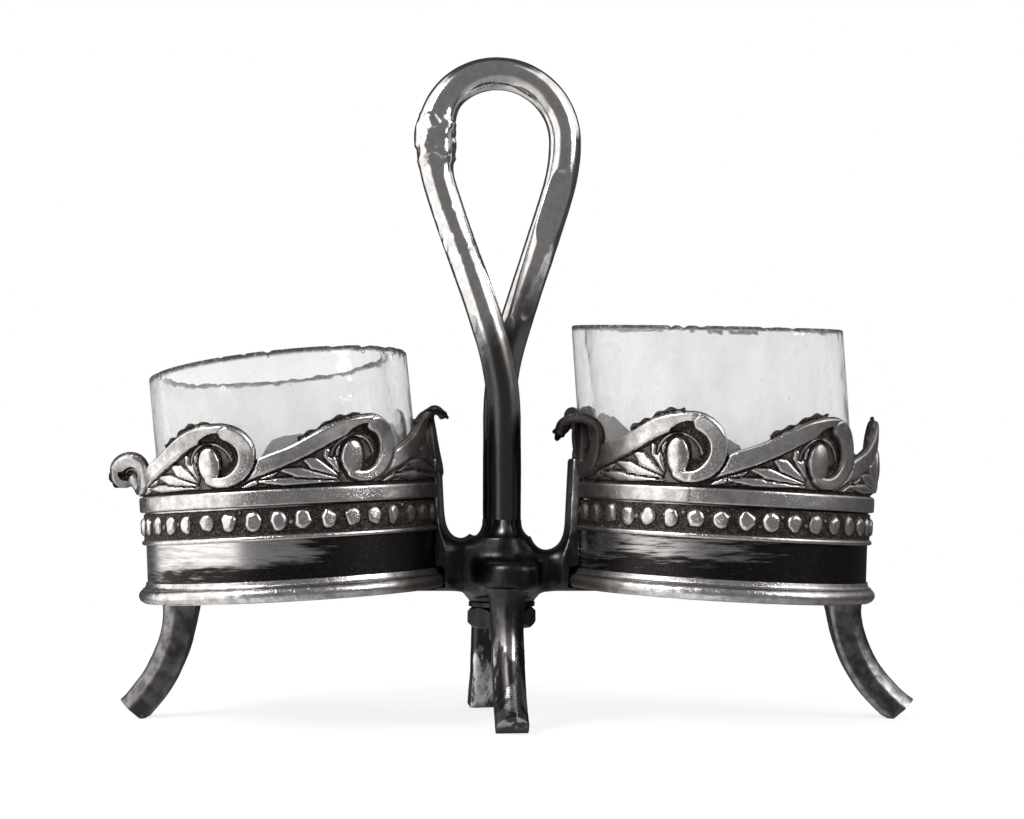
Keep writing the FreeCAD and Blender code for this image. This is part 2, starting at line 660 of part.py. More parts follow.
def make_socket(label):
    """The flared foot that both strands are brazed into, with the stud that goes down through the bridge."""
    body = new_body(label)
    foot = "bridge_centre_top + solder_gap"
    grip_x = "rod_radius + socket_rim"
    grip_y = "2 * rod_radius + strand_gap / 2 + 2 * socket_rim"
    levels = [
        (foot, f"{grip_x} + 1.2", f"{grip_y} + 1"),
        ("bridge_centre_top * 0.6 + socket_top * 0.4", f"{grip_x} + 0.3", f"{grip_y} + 0.25"),
        ("socket_top", grip_x, grip_y),
    ]
    rings = [ellipse(new_sketch(body, f"{label}_ring_{i}", "XY_Plane", level), half_x, half_y)
             for i, (level, half_x, half_y) in enumerate(levels, start=1)]
    doc.recompute()
    loft = body.newObject("PartDesign::AdditiveLoft", f"{label}_flare")
    loft.Profile = rings[0]
    loft.Sections = rings[1:]
    doc.recompute()
    stud = circle(new_sketch(body, f"{label}_stud_outline", "XY_Plane", "stud_foot"), "0", "0", "stud_radius")
    pad(body, f"{label}_stud", stud, f"{foot} - stud_foot + 0.2")
    apart = "rod_radius + strand_gap / 2"
    wells = new_sketch(body, f"{label}_wells_outline", "XY_Plane", "strand_foot - solder_gap")
    for place in (f"-({apart})", apart):
        circle(wells, "0", place, "rod_radius + solder_gap")
    doc.recompute()
    before = body.Shape.Volume
    drilled = body.newObject("PartDesign::Pocket", f"{label}_wells")
    drilled.Profile = wells
    drilled.Reversed = True
    drilled.Type = "ThroughAll"
    doc.recompute()
    if body.Shape.Volume >= before:
        raise RuntimeError("the socket's wells cut nothing")
    body.Placement = handle_frame()
    return body


def make_washer(label):
    body = new_body(label)
    foot = "boss_foot - solder_gap - washer_thick"
    hole, rim = "stud_radius + stud_clearance", "washer_radius"
    revolve(body, f"{label}_disc", [(hole, "0"), (rim, "0"), (rim, "washer_thick"), (hole, "washer_thick")])
    body.Placement = handle_frame("centre_turn", foot)
    return body


def make_nut(label):
    """A plain hexagon nut, chamfered at both ends."""
    body = new_body(label)
    sketch = new_sketch(body, f"{label}_hexagon", "XY_Plane")
    outline(sketch, [(f"nut_radius * {math.cos(math.radians(a)):.6f}", f"nut_radius * {math.sin(math.radians(a)):.6f}")
                     for a in range(0, 360, 60)])
    circle(sketch, "0", "0", "stud_radius + stud_clearance / 2")
    pad(body, f"{label}_blank", sketch, "nut_high")
    corner = "nut_radius + 0.01"
    for end, high, step in (("foot", "0", "nut_bevel"), ("head", "nut_high", "nut_high - nut_bevel")):
        groove_sketch = outline(new_sketch(body, f"{label}_{end}_bevel_outline", "XZ_Plane"), [
            ("nut_radius * 0.84", high), (corner, high), (corner, step),
        ])
        groove = body.newObject("PartDesign::Groove", f"{label}_{end}_bevel")
        groove.Profile = groove_sketch
        groove.ReferenceAxis = (groove_sketch, ["V_Axis"])
        groove.Angle = 360
        doc.recompute()
    foot = "boss_foot - 2 * solder_gap - washer_thick - nut_high"
    body.Placement = handle_frame("nut_turn", foot)
    return body


# ---- Legs ----------------------------------------------------------------------------------------


def make_leg(label, root, top, place, bend="leg_bend", toe=("toe_reach", "toe_height", "toe_slope"), cutter=None):
    """A D-section bar with a flared root, bent outwards and cut off on the slant, with a small flat to stand on."""
    body = new_body(f"{label}_blank" if cutter else label)
    section = outline(new_sketch(body, f"{label}_section", "XY_Plane", top), [
        (f"{root} - leg_thick / 2", "-leg_wide / 2"),
        (f"{root} + leg_shoulder", "-leg_wide / 2", (f"{root} + leg_thick / 2", "0")),
        (f"{root} + leg_shoulder", "leg_wide / 2"),
        (f"{root} - leg_thick / 2", "leg_wide / 2"),
    ])
    spine = new_sketch(body, f"{label}_bend", "XZ_Plane")
    drop = math.asin(number(f"(bend_start + bend_overrun) / {bend}"))
    middle = Vector(number(f"{root} + {bend}"), size("bend_start"), 0)
    straight = spine.addGeometry(Part.LineSegment(
        Vector(number(root), number(top), 0), Vector(number(root), size("bend_start"), 0)))
    pin_point(spine, straight, 1, root, top)
    pin_point(spine, straight, 2, root, "bend_start")
    arc = spine.addGeometry(Part.ArcOfCircle(
        Part.Circle(middle, Vector(0, 0, 1), size(bend)), math.pi, math.pi + drop))
    pin_point(spine, arc, 3, f"{root} + {bend}", "bend_start")
    spine.addConstraint(Sketcher.Constraint("Coincident", straight, 2, arc, 1))
    index = spine.addConstraint(Sketcher.Constraint("DistanceY", arc, 2, -1, 1, size("bend_overrun")))
    spine.setExpression(f"Constraints[{index}]", cells("bend_overrun"))
    doc.recompute()
    pipe = body.newObject("PartDesign::AdditivePipe", f"{label}_bar")
    pipe.Profile = section
    pipe.Spine = (spine, ["Edge1", "Edge2"])
    doc.recompute()

    flare = outline(new_sketch(body, f"{label}_flare_outline", "XZ_Plane"), [
        (root, f"{top} - root_high"),
        (f"{root} + leg_thick * 0.4", f"{top} - root_high",
         (f"{root} + leg_thick * 0.4 + (root_radius - leg_thick * 0.4) * 0.3", f"{top} - root_high * 0.3")),
        (f"{root} + root_radius", top),
        (root, top),
    ])
    line = flare.addGeometry(Part.LineSegment(Vector(number(root), 0, 0), Vector(number(root), 5, 0)), True)
    pin_point(flare, line, 1, root, "0")
    pin_point(flare, line, 2, root, "5")
    trumpet = body.newObject("PartDesign::Revolution", f"{label}_flare")
    trumpet.Profile = flare
    trumpet.ReferenceAxis = (flare, ["Axis0"])
    trumpet.Angle = 360
    doc.recompute()

    before = body.Shape.Volume
    toe_x, lift, slope = f"{root} + {toe[0]}", toe[1], f"tan({toe[2]})"
    trim = outline(new_sketch(body, f"{label}_trim_outline", "XZ_Plane"), [
        (f"{toe_x} - trim_reach", "0"),
        (f"{toe_x} - {lift} / {slope}", "0"),
        (f"{toe_x} + trim_reach", f"{lift} + trim_reach * {slope}"),
        (f"{toe_x} + trim_reach", "-trim_reach"),
        (f"{toe_x} - trim_reach", "-trim_reach"),
    ])
    cut = body.newObject("PartDesign::Pocket", f"{label}_trim")
    cut.Profile = trim
    cut.Midplane = True
    cut.setExpression("Length", cells("leg_wide * 3"))
    doc.recompute()
    if body.Shape.Volume >= before:
        raise RuntimeError(f"{label}_trim cuts nothing")
    body.Placement = place
    return cut_back(label, body, cutter) if cutter else body


# ---- Assembly ------------------------------------------------------------------------------------


def build():
    cutters = [make_drum_cutter("left_drum_space", LEFT), make_drum_cutter("right_drum_space", RIGHT)]
    opening = make_bridge_space()
    made = []
    for word, side in (("left", LEFT), ("right", RIGHT)):
        made += [
            make_floor(f"{word}_drum_floor", side),
            make_drum(f"{word}_drum_wall", side),
            make_base_ring(f"{word}_base_ring", side),
            make_bead_band(f"{word}_bead_band", side, opening),
            make_gallery(f"{word}_scroll_gallery", side, opening),
            make_liner(f"{word}_glass_liner", side, word),
        ]
    made += [
        make_bridge("bridge", cutters),
        make_handle("handle_loop"),
        make_socket("handle_socket"),
        make_washer("handle_washer"),
        make_nut("handle_nut"),
        make_leg("left_leg", "left_leg_root", "side_leg_top", TO_LEFT, cutter=cutters[0]),
        make_leg("right_leg", "right_leg_root", "side_leg_top", Placement(), cutter=cutters[1]),
        make_leg("front_leg", "centre_leg_root", "centre_leg_top", handle_frame("front_leg_turn") * TO_FRONT),
        make_leg("rear_leg", "centre_leg_root", "centre_leg_top", handle_frame("rear_leg_turn") * TO_REAR,
                 "rear_leg_bend", ("rear_toe_reach", "rear_toe_height", "rear_toe_slope")),
    ]
    doc.recompute()
    return made


def check(made):
    for item in doc.Objects:
        if {"Invalid", "Error"} & set(item.State):
            raise RuntimeError(f"{item.Label} failed: {item.State}")
    for item in made:
        if item.Shape.isNull() or not item.Shape.isValid() or not item.Shape.Solids:
            raise RuntimeError(f"{item.Label} has no valid solid")


def write(made):
    os.makedirs("parts", exist_ok=True)
    for item in made:
        item.Shape.exportStep(f"parts/{item.Label}.step")
        box = item.Shape.BoundBox
        print(f"{item.Label:22s} solids {len(item.Shape.Solids)}  volume {item.Shape.Volume:9.1f}"
              f"  z {box.ZMin:6.2f} to {box.ZMax:6.2f}")


parts = build()
check(parts)
write(parts)
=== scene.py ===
import json
from functools import partialmethod
from math import asin, atan2, cos, exp, pi, radians, sin, sqrt

import bmesh
import bpy
import numpy as np
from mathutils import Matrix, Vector, noise


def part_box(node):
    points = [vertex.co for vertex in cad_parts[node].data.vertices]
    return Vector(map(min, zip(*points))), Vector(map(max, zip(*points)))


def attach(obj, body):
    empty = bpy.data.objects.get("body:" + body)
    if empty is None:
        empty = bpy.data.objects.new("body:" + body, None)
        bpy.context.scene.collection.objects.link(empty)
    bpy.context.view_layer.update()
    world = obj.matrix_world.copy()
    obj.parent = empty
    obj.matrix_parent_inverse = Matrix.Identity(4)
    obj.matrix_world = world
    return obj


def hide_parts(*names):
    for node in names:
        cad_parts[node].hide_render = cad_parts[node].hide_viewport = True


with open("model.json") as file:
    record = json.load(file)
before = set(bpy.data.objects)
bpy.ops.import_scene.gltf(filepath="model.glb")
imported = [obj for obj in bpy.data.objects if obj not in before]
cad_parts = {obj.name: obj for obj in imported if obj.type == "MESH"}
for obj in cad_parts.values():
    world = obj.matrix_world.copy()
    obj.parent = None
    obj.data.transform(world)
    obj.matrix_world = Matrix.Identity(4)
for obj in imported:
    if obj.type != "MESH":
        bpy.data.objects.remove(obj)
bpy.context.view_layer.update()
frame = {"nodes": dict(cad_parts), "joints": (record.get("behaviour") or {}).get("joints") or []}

MM = 0.001
FAR = 1e9  # a distance outside everything
SIDES = {"left": -1, "right": 1}
ORDER = {"left": 0, "right": 1}  # added to a seed, so that the two sides differ
SOLDER_GAP = 0.05  # between parts that are soldered together
FOOT_LEAST, RIM_LEAST = (0.985, 0.9995), 0.98  # how squarely a face looks along the axis to count
RIM_ABOVE = 25  # height between the inside of a liner's foot and its rim


# ---- Places, read from the frame ----


def node_points(node):
    """A CAD node's vertices, in millimetres."""
    mesh = frame["nodes"][node].data
    flat = np.empty(len(mesh.vertices) * 3, np.float32)
    mesh.vertices.foreach_get("co", flat)
    return flat.reshape(-1, 3).astype(float) / MM


def upright_frame(foot, axis):
    """A 4x4 frame at foot, with +Z along axis and X as near the row's X as that allows."""
    z = np.array(axis, float) / np.linalg.norm(axis)
    x = np.cross([0, 1, 0], z)
    x /= np.linalg.norm(x)
    place = np.eye(4)
    place[:3] = np.stack([x, np.cross(z, x), z, foot], axis=1)
    return place


def into(place, points):
    """Points of the row frame, seen in a piece's own frame."""
    return (points - place[:3, 3]) @ place[:3, :3]


def out_of(place, points):
    """Points of a piece's own frame, in the row frame."""
    return points @ place[:3, :3].T + place[:3, 3]


def lift_axis(side):
    """The direction in which a liner lifts out."""
    return np.array(next(j["axis"] for j in frame["joints"] if j["child"] == f"{side}_liner"))


def drum_frame(side):
    """A drum's frame: foot centre of its floor disc, with Z along its liner's lift."""
    axis = lift_axis(side)
    floor = node_points(f"{side}_drum_floor")
    centre = (floor.min(0) + floor.max(0)) / 2
    along = floor @ axis
    return upright_frame(centre - axis * (along.max() - along.min()) / 2, axis)


def facing(polygons, axis, least):
    """Area-weighted centre and normal of the polygons that face along an axis."""
    normal = np.array([p.normal for p in polygons])
    area = np.array([p.area for p in polygons]) * (normal @ axis > least)
    mean = area @ normal
    return area @ np.array([p.center for p in polygons]) / area.sum() / MM, mean / np.linalg.norm(mean)


def liner_frame(side):
    """A liner's frame, found from the flat disc under its foot."""
    polygons = frame["nodes"][f"{side}_glass_liner"].data.polygons
    down = -lift_axis(side)
    for least in FOOT_LEAST:
        foot, down = facing(polygons, down, least)
    return upright_frame(foot, -down)


def rim_plane(side, place):
    """Centre and normal of a liner's cut rim, in the liner's own frame."""
    polygons = frame["nodes"][f"{side}_glass_liner"].data.polygons
    high = [p for p in polygons if into(place, np.array(p.center) / MM)[2] > RIM_ABOVE]
    centre, normal = facing(high, place[:3, 2], RIM_LEAST)
    return into(place, centre), normal @ place[:3, :3]


def extent(node, place):
    """A round node's least and greatest height and radius, in its own frame."""
    points = into(place, node_points(node))
    radius = np.hypot(points[:, 0], points[:, 1])
    return points[:, 2].min(), points[:, 2].max(), radius.min(), radius.max()


# ---- Mesh helpers ----


def bump_noise(points, grain, seed):
    """Noise between about -1 and 1 at each point, with features about one grain across."""
    shift = Vector((seed * 17.3, seed * 5.1, seed * 9.7))
    return np.array([noise.noise(Vector(p) / grain + shift) for p in points])


def link(name, data):
    """A new object in the scene."""
    new = bpy.data.objects.new(name, data)
    bpy.context.scene.collection.objects.link(new)
    return new


def make_piece(name, points, faces, node, paint, sharp=40, relief=None, body="stand"):
    """A mesh that stands for a CAD node. Only edges sharper than an angle stay sharp."""
    mesh = bpy.data.meshes.new(name)
    mesh.from_pydata((points * MM).tolist(), [], faces)
    mesh.validate()
    mesh.shade_smooth()
    mesh.set_sharp_from_angle(angle=radians(sharp))
    if relief is not None:
        mesh.attributes.new("relief", "FLOAT", "POINT").data.foreach_set("value", relief.astype(np.float32))
    mesh.materials.append(paint)
    piece = link(name, mesh)
    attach(piece, body)
    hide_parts(node)
    return piece


def grid_faces(rows, columns, wrap_rows=False):
    """Quads over closed rings of points. With wrap_rows the last ring joins the first."""
    return [
        (r * columns + c, r * columns + (c + 1) % columns,
         (r + 1) % rows * columns + (c + 1) % columns, (r + 1) % rows * columns + c)
        for r in range(rows if wrap_rows else rows - 1) for c in range(columns)
    ]


def lathe(profile, steps):
    """A closed outline of (radius, height), listed anticlockwise, turned round Z."""
    outline = np.array(profile)
    turn = np.linspace(0, 2 * pi, steps, endpoint=False)
    ring = np.stack([np.cos(turn), np.sin(turn)], axis=1)
    points = np.concatenate([np.column_stack([r * ring, np.full(steps, z)]) for r, z in outline])
    return points, grid_faces(len(outline), steps, wrap_rows=True)


def smooth_outline(corners, spacing):
    """A closed outline through corners, with a point about every spacing."""
    dense = []
    for a, b in zip(corners, corners[1:] + corners[:1]):
        a, b = np.array(a, float), np.array(b, float)
        count = max(1, round(np.linalg.norm(b - a) / spacing))
        dense += [tuple(a + (b - a) * k / count) for k in range(count)]
    return dense


def arc(centre, radius, start, end, steps):
    """Points on a circular arc between two angles in degrees."""
    turn = np.radians(np.linspace(start, end, steps))
    return [(centre[0] + radius * cos(a), centre[1] + radius * sin(a)) for a in turn]


def cubic_through(points, count, end):
    """Points on a smooth curve through the given ones, with a given direction at its end."""
    knots = np.array(points, float)
    chord = np.linalg.norm(np.diff(knots, axis=0), axis=1)
    at = np.concatenate([[0], np.cumsum(chord)])
    system, right = np.eye(len(knots)), np.zeros_like(knots)
    system[0, :2] = 2, 1
    right[0], right[-1] = 3 * (knots[1] - knots[0]) / chord[0], end
    for i in range(1, len(knots) - 1):
        before, after = chord[i - 1], chord[i]
        system[i, i - 1:i + 2] = after, 2 * (before + after), before
        to_here, onwards = (knots[i] - knots[i - 1]) / before, (knots[i + 1] - knots[i]) / after
        right[i] = 3 * (after * to_here + before * onwards)
    slope = np.linalg.solve(system, right)
    t = np.linspace(0, at[-1], count)
    i = np.clip(np.searchsorted(at, t, side="right") - 1, 0, len(knots) - 2)
    length = chord[i][:, None]
    s = (t - at[i])[:, None] / length
    return ((1 + 2 * s) * (1 - s) ** 2 * knots[i] + s * (1 - s) ** 2 * length * slope[i]
            + s * s * (3 - 2 * s) * knots[i + 1] + s * s * (s - 1) * length * slope[i + 1])


def sweep_frames(path, first_side):
    """Two directions across a path at each point, carried along without twist."""
    ahead = np.gradient(path, axis=0)
    ahead /= np.linalg.norm(ahead, axis=1)[:, None]
    side = np.array(first_side, float)
    sides = []
    for direction in ahead:
        side = side - direction * (side @ direction)
        side /= np.linalg.norm(side)
        sides.append(side)
    sides = np.array(sides)
    return sides, np.cross(ahead, sides)


def sweep(path, sections, first_side):
    """A bar with one (x, y) section for each point of its path, and flat ends."""
    side, up = sweep_frames(path, first_side)
    points = np.concatenate([
        p + section[:, :1] * s + section[:, 1:] * u
        for p, section, s, u in zip(path, sections, side, up)
    ])
    rows, columns = len(path), sections.shape[1]
    faces = grid_faces(rows, columns)
    faces.append(tuple(reversed(range(columns))))
    faces.append(tuple(range((rows - 1) * columns, rows * columns)))
    return points, faces


def smooth_step(low, high, value):
    """0 below low, 1 above high, and smooth between them."""
    t = np.clip((value - low) / (high - low), 0, 1)
    return t * t * (3 - 2 * t)


def soft_min(a, b, blend):
    """The lesser of two fields, rounded where they meet."""
    h = np.clip(0.5 + 0.5 * (b - a) / blend, 0, 1)
    return b + (a - b) * h - blend * h * (1 - h)


def soft_max(a, b, blend):
    """The greater of two fields, rounded where they meet."""
    return -soft_min(-a, -b, blend)


def surface_of(field, wrap=False):
    """Grid positions and quads of the surface where a field turns from negative (inside) to positive.

    One vertex lies in each cell that the surface crosses, at the mean of its crossings. With wrap, the first
    axis is a closed ring.
    """
    if wrap:
        field = np.concatenate([field, field[:1]])
    cells = np.array(field.shape) - 1
    total, hits = np.zeros((*cells, 3), np.float32), np.zeros(cells, np.float32)
    crossings = []
    for axis in range(3):
        low = np.take(field, range(cells[axis]), axis)
        high = np.take(field, range(1, cells[axis] + 1), axis)
        crossed = (low < 0) != (high < 0)
        share = np.where(crossed, low / np.where(crossed, low - high, 1), 0).astype(np.float32)
        first, second = (axis + 1) % 3, (axis + 2) % 3
        crossings.append((axis, first, second, crossed, low < 0))
        for a, b in ((0, 0), (0, 1), (1, 0), (1, 1)):
            window = [slice(None)] * 3
            window[first], window[second] = slice(a, a + cells[first]), slice(b, b + cells[second])
            part = crossed[tuple(window)]
            hits += part
            total[..., axis] += share[tuple(window)]
            total[..., first] += part * a
            total[..., second] += part * b
    used = hits > 0
    ids = np.full(cells, -1)
    ids[used] = np.arange(used.sum())
    points = np.argwhere(used) + total[used] / hits[used][:, None]
    padded = np.pad(ids, 1, constant_values=-1)
    if wrap:
        padded[0], padded[-1] = padded[-2], padded[1]
    quads = []
    for axis, first, second, crossed, rising in crossings:
        if wrap and axis != 0:
            crossed = crossed[:-1]
        where = np.argwhere(crossed)
        loop = []
        for a, b in ((0, 0), (1, 0), (1, 1), (0, 1)):
            corner = where.copy()
            corner[:, [axis, first, second]] += (1, a, b)
            loop.append(padded[tuple(corner.T)])
        quad = np.stack(loop, axis=1)
        turned = ~rising[tuple(where.T)]
        quad[turned] = quad[turned][:, ::-1]
        quads.append(quad[(quad >= 0).all(1)])
    return points, np.concatenate(quads).tolist()


# ---- Materials ----


class Nodes:
    """Short calls that build one node tree. Kinds are named without their ShaderNode."""

    def __init__(self, owner):
        owner.use_nodes = True
        self.owner, self.tree = owner, owner.node_tree
        self.tree.nodes.clear()

    def add(self, kind, inputs=None, **settings):
        node = self.tree.nodes.new("ShaderNode" + kind)
        for key, value in settings.items():
            setattr(node, key, value)
        for key, value in (inputs or {}).items():
            self.give(node.inputs[key], value)
        return node

    def give(self, socket, value):
        if isinstance(value, bpy.types.NodeSocket):
            self.tree.links.new(value, socket)
        else:
            socket.default_value = value

    def maths(self, operation, *values, clamp=False):
        node = self.add("Math", operation=operation, use_clamp=clamp)
        for socket, value in zip(node.inputs, values):
            self.give(socket, value)
        return node.outputs[0]

    times = partialmethod(maths, "MULTIPLY")
    plus = partialmethod(maths, "ADD")
    minus = partialmethod(maths, "SUBTRACT")
    over = partialmethod(maths, "DIVIDE")
    greater = partialmethod(maths, "MAXIMUM")
    size = partialmethod(maths, "ABSOLUTE")

    def where(self, kind="Object"):
        return self.add("TexCoord").outputs[kind]

    def split(self, vector):
        return self.add("SeparateXYZ", {0: vector}).outputs

    def ramp(self, value, low, high, to_low=0.0, to_high=1.0):
        """Goes smoothly from to_low to to_high while the value goes from low to high."""
        inputs = {"Value": value, "From Min": low, "From Max": high, "To Min": to_low, "To Max": to_high}
        return self.add("MapRange", inputs, interpolation_type="SMOOTHSTEP").outputs[0]

    def speckle(self, where, grain_mm, detail=3.0, rough=0.55, stretch=None):
        """Noise with features about grain_mm across, finer along an axis whose stretch is above 1."""
        if stretch:
            where = self.add("Mapping", {"Vector": where, "Scale": stretch}).outputs[0]
        inputs = {"Vector": where, "Scale": 1 / (grain_mm * MM), "Detail": detail, "Roughness": rough}
        return self.add("TexNoise", inputs).outputs[0]

    def mix_colour(self, share, first, second):
        return self.add("Mix", {0: share, 6: first, 7: second}, data_type="RGBA").outputs[2]

    def mix_value(self, share, first, second):
        return self.add("Mix", {0: share, 2: first, 3: second}, data_type="FLOAT").outputs[0]

    def mix_shader(self, share, first, second):
        return self.add("MixShader", {0: share, 1: first, 2: second}).outputs[0]

    def diffuse(self, colour):
        return self.add("BsdfDiffuse", {"Color": colour}).outputs[0]

    def principled(self, inputs):
        return self.add("BsdfPrincipled", inputs).outputs[0]

    def bump(self, height, strength, depth_mm):
        inputs = {"Height": height, "Strength": strength, "Distance": depth_mm * MM}
        return self.add("Bump", inputs).outputs[0]

    def relief(self):
        """The attribute that make_piece stores on a mesh."""
        return self.add("Attribute", attribute_name="relief").outputs["Fac"]

    def finish(self, shader, kind="Material"):
        self.add("Output" + kind, {"Surface": shader})
        return self.owner


BRIGHT = (0.80, 0.785, 0.775, 1)
GREYED = (0.42, 0.40, 0.40, 1)
# The colour of tarnish, and of the painted shade that the drums' coats add.
TARNISH_AND_SHADE = (0.035, 0.026, 0.022, 1)
SOOTY = (0.06, 0.056, 0.053, 1)
# The dark of the walls, the bridge and the legs. On the walls and the bridge it is mostly painted shade.
BLACK = (0.022, 0.020, 0.019, 1)
DUST = (0.62, 0.61, 0.60, 1)
# The painted shade along the liners' rims.
RIM_SHADE = (0.045, 0.04, 0.038, 1)
CLEAR = (0.985, 0.99, 0.985, 1)
PIT_GRAIN, WEAR_GRAIN, BLOTCH_GRAIN = 0.28, 1.6, 6.0  # size of the patterns in the silver, in millimetres


def silver(name, tarnish=0.3, polish=0.2, relief=False, ragged=0.0, streaks=None, pits=0.5, blotches=1.0,
           dark_rough=0.6, dark_colour=TARNISH_AND_SHADE, coat=None):
    """Old silver plate: bright on high points, greyed on the flats, dark in recesses and blotches.

    tarnish is the share gone dark, polish the roughness of the brightest parts, streaks a stretch of the wear
    and coat a function that adds a further layer of dark, which on the galleries, beads, base rings and the
    bridge is painted shade. With relief the dark comes from the mesh's attribute: the recesses, and on the
    walls a painted highlight and painted shade. It is broken up by the wear as far as ragged says.
    """
    n = Nodes(bpy.data.materials.new(name))
    where = n.where()
    blotch = n.speckle(where, BLOTCH_GRAIN, 5.0, 0.6)
    wear = n.speckle(where, WEAR_GRAIN, 6.0, 0.65, streaks)
    grain = n.speckle(where, PIT_GRAIN, 4.0, 0.6)
    if relief:
        uneven = n.times(n.minus(wear, 0.5), ragged)
        hollow = n.ramp(n.plus(n.relief(), uneven), 0.32, 0.74, 1.0, 0.0)
    else:
        shade = n.add("AmbientOcclusion", {"Distance": 2.2 * MM}, samples=6, only_local=False)
        hollow = n.ramp(shade.outputs["AO"], 0.25, 0.8, 1.0, 0.0)
    stain = n.ramp(n.mix_value(0.5, blotch, wear), 0.62 - 0.3 * tarnish, 0.72 - 0.2 * tarnish)
    dark = n.greater(hollow, n.times(stain, min(1.0, 0.3 + tarnish) * blotches))
    dark = n.times(dark, n.ramp(grain, 0.2, 0.55, 1 - pits / 2, 1.0), clamp=True)
    if coat:
        dark = n.greater(dark, coat(n, where))
    dulled = n.times(n.ramp(wear, 0.38, 0.64), 0.3 + 0.7 * blotches)
    colour = n.mix_colour(dark, n.mix_colour(dulled, BRIGHT, GREYED), dark_colour)
    rough = n.mix_value(dark, n.mix_value(dulled, polish, polish + 0.14), dark_rough)
    pitted = n.plus(n.times(n.ramp(grain, 0.3, 0.5), 0.5), n.times(wear, 0.9))
    return n.finish(n.principled({
        "Base Color": colour, "Metallic": 1.0, "Roughness": rough, "Normal": n.bump(pitted, pits, 0.05)}))


def low_on_rod(n, where):
    """Darker on the lower handle, reaching higher up on its right strand."""
    x, _, z = n.split(where)
    level = n.minus(z, n.times(x, 1.3))
    level = n.plus(level, n.times(n.speckle(where, 5.0, 4.0), 12 * MM))
    return n.ramp(level, 69 * MM, 79 * MM, 0.95, 0.0)


def shade_by_handle(n, where):
    """Painted shade on the drums' inner ends, where they face the handle and each other."""
    x, _, _ = n.split(where)
    reach = n.plus(n.size(x), n.times(n.speckle(where, 4.0, 4.0), 8 * MM))
    return n.ramp(reach, 18.5 * MM, 26 * MM, 0.9, 0.0)


def shade_by_handle_and_right(n, where):
    """The same, with painted shade on the right drum's outer end too."""
    x, _, _ = n.split(where)
    outer = n.plus(x, n.times(n.speckle(where, 5.0, 4.0), 12 * MM))
    return n.greater(shade_by_handle(n, where), n.ramp(outer, 44 * MM, 60 * MM, 0.0, 0.62))


def feet_wear_and_sheen(n, where):
    """Dark over the legs, worn through in patches on the middle legs' feet and evenly thinner on the side
    legs as a painted sheen.
    """
    x, _, z = n.split(where)
    patches = n.ramp(n.speckle(where, 3.2, 5.0, 0.6, (1.0, 1.0, 0.4)), 0.47, 0.56)
    brightened = n.times(patches, n.ramp(z, 11 * MM, 17 * MM, 0.9, 0.08))
    # Painted sheen: the side legs' dark is thinner, so they show lighter.
    thin = n.ramp(n.speckle(where, 2.0, 4.0), 0.35, 0.65, 0.07, 0.30)
    on_side = n.ramp(n.size(x), 20 * MM, 35 * MM)
    return n.minus(0.95, n.mix_value(on_side, brightened, thin))


def shade_on_bridge(n, where):
    """Painted shade over all of the bridge, thinner in upright streaks on its straps."""
    _, _, z = n.split(where)
    streak = n.ramp(n.speckle(where, 1.6, 4.0, 0.6, (1.0, 1.0, 0.2)), 0.40, 0.62)
    thin = n.times(streak, n.ramp(z, 30.5 * MM, 34 * MM, 0.04, 0.75))
    return n.minus(0.99, thin)


def liner_glass(name):
    """Clear old glass with a film of dust, specks, and a ground rim that is rough and carries a painted
    shade.
    """
    n = Nodes(bpy.data.materials.new(name))
    where = n.where()
    film = n.ramp(n.speckle(where, 7.0, 4.0, 0.6, (1.0, 1.0, 0.5)), 0.35, 0.75, 0.07, 0.2)
    specks = n.ramp(n.speckle(where, 0.6, 3.0, 0.6), 0.64, 0.74, 0.0, 0.5)
    ground = n.relief()
    clear = n.principled({
        "Base Color": CLEAR, "Roughness": n.mix_value(ground, 0.015, 0.35), "IOR": 1.5,
        "Transmission Weight": 1.0, "Normal": n.bump(n.speckle(where, 5.0, 2.0, 0.5), 0.25, 0.4)})
    dusty = n.mix_shader(n.greater(film, specks), clear, n.diffuse(DUST))
    # Painted shade: a dark band along the ground rim, broken up by noise.
    rim = n.times(ground, n.ramp(n.speckle(where, 0.8, 3.0, 0.7), 0.3, 0.55, 0.45, 0.95))
    return n.finish(n.mix_shader(rim, dusty, n.diffuse(RIM_SHADE)))


# ---- Drums ----

ROUND_DRUM = 2 * pi * 25.9  # length round a drum, at the radius where patterns are measured
BACK_RADIUS = 24.65  # back of the strips that lie on the wall
RING_BOTTOM, RING_TOP = 14.7, 17.4
SCROLLS = 7
PITCH = ROUND_DRUM / SCROLLS
CURL_TURN = {"left": -17.0, "right": -18.4}  # where a curl's centre stands, in degrees from the front
CURL_HEIGHT = 23.6  # height of a curl's centre above the drum's foot
CURL_RADIUS = 5.7  # outside of a curl
SCROLL_START, SCROLL_END = -23.5, 9.5  # how far a scroll reaches to both sides of its curl's centre
SCROLL_CELL, SCROLL_THICK = 0.2, 1.7
# How much a crest has been pushed up at the side towards -X, at the front and at the side towards +X.
LIFT = {"left": (0.0, -1.0, 0.6), "right": (0.6, 0.0, 1.2)}
# The crests' slope outwards, in degrees, at the side towards -X, at the front and at the side towards +X.
FLARE = {"left": (42, 30, 12), "right": (30, 22, -5)}
# Bent tips: the side they are on, how far the metal leans inwards first, how far it is rolled over (degrees),
# where along its height the roll starts and ends, and how much longer the metal is drawn.
HOOKS = {
    "left": [(1, 8, 165, 0.60, 0.95, 1.42), (-1, -25, 125, 0.35, 0.80, 0.62)],
    "right": [(-1, 0, 185, 0.52, 0.80, 1.66)],
}
BEND_STEPS = 60
# The ribbon's middle line from its tail up to the crest, from the curl's centre: along, up, width.
TAIL = [(-21.6, -5.9, 0.7), (-19.6, -3.9, 2.0), (-17.0, -2.4, 3.0), (-12.6, -0.7, 3.0), (-8.2, 1.5, 3.1),
        (-4.4, 3.4, 3.1), (0.0, 4.2, 3.0)]
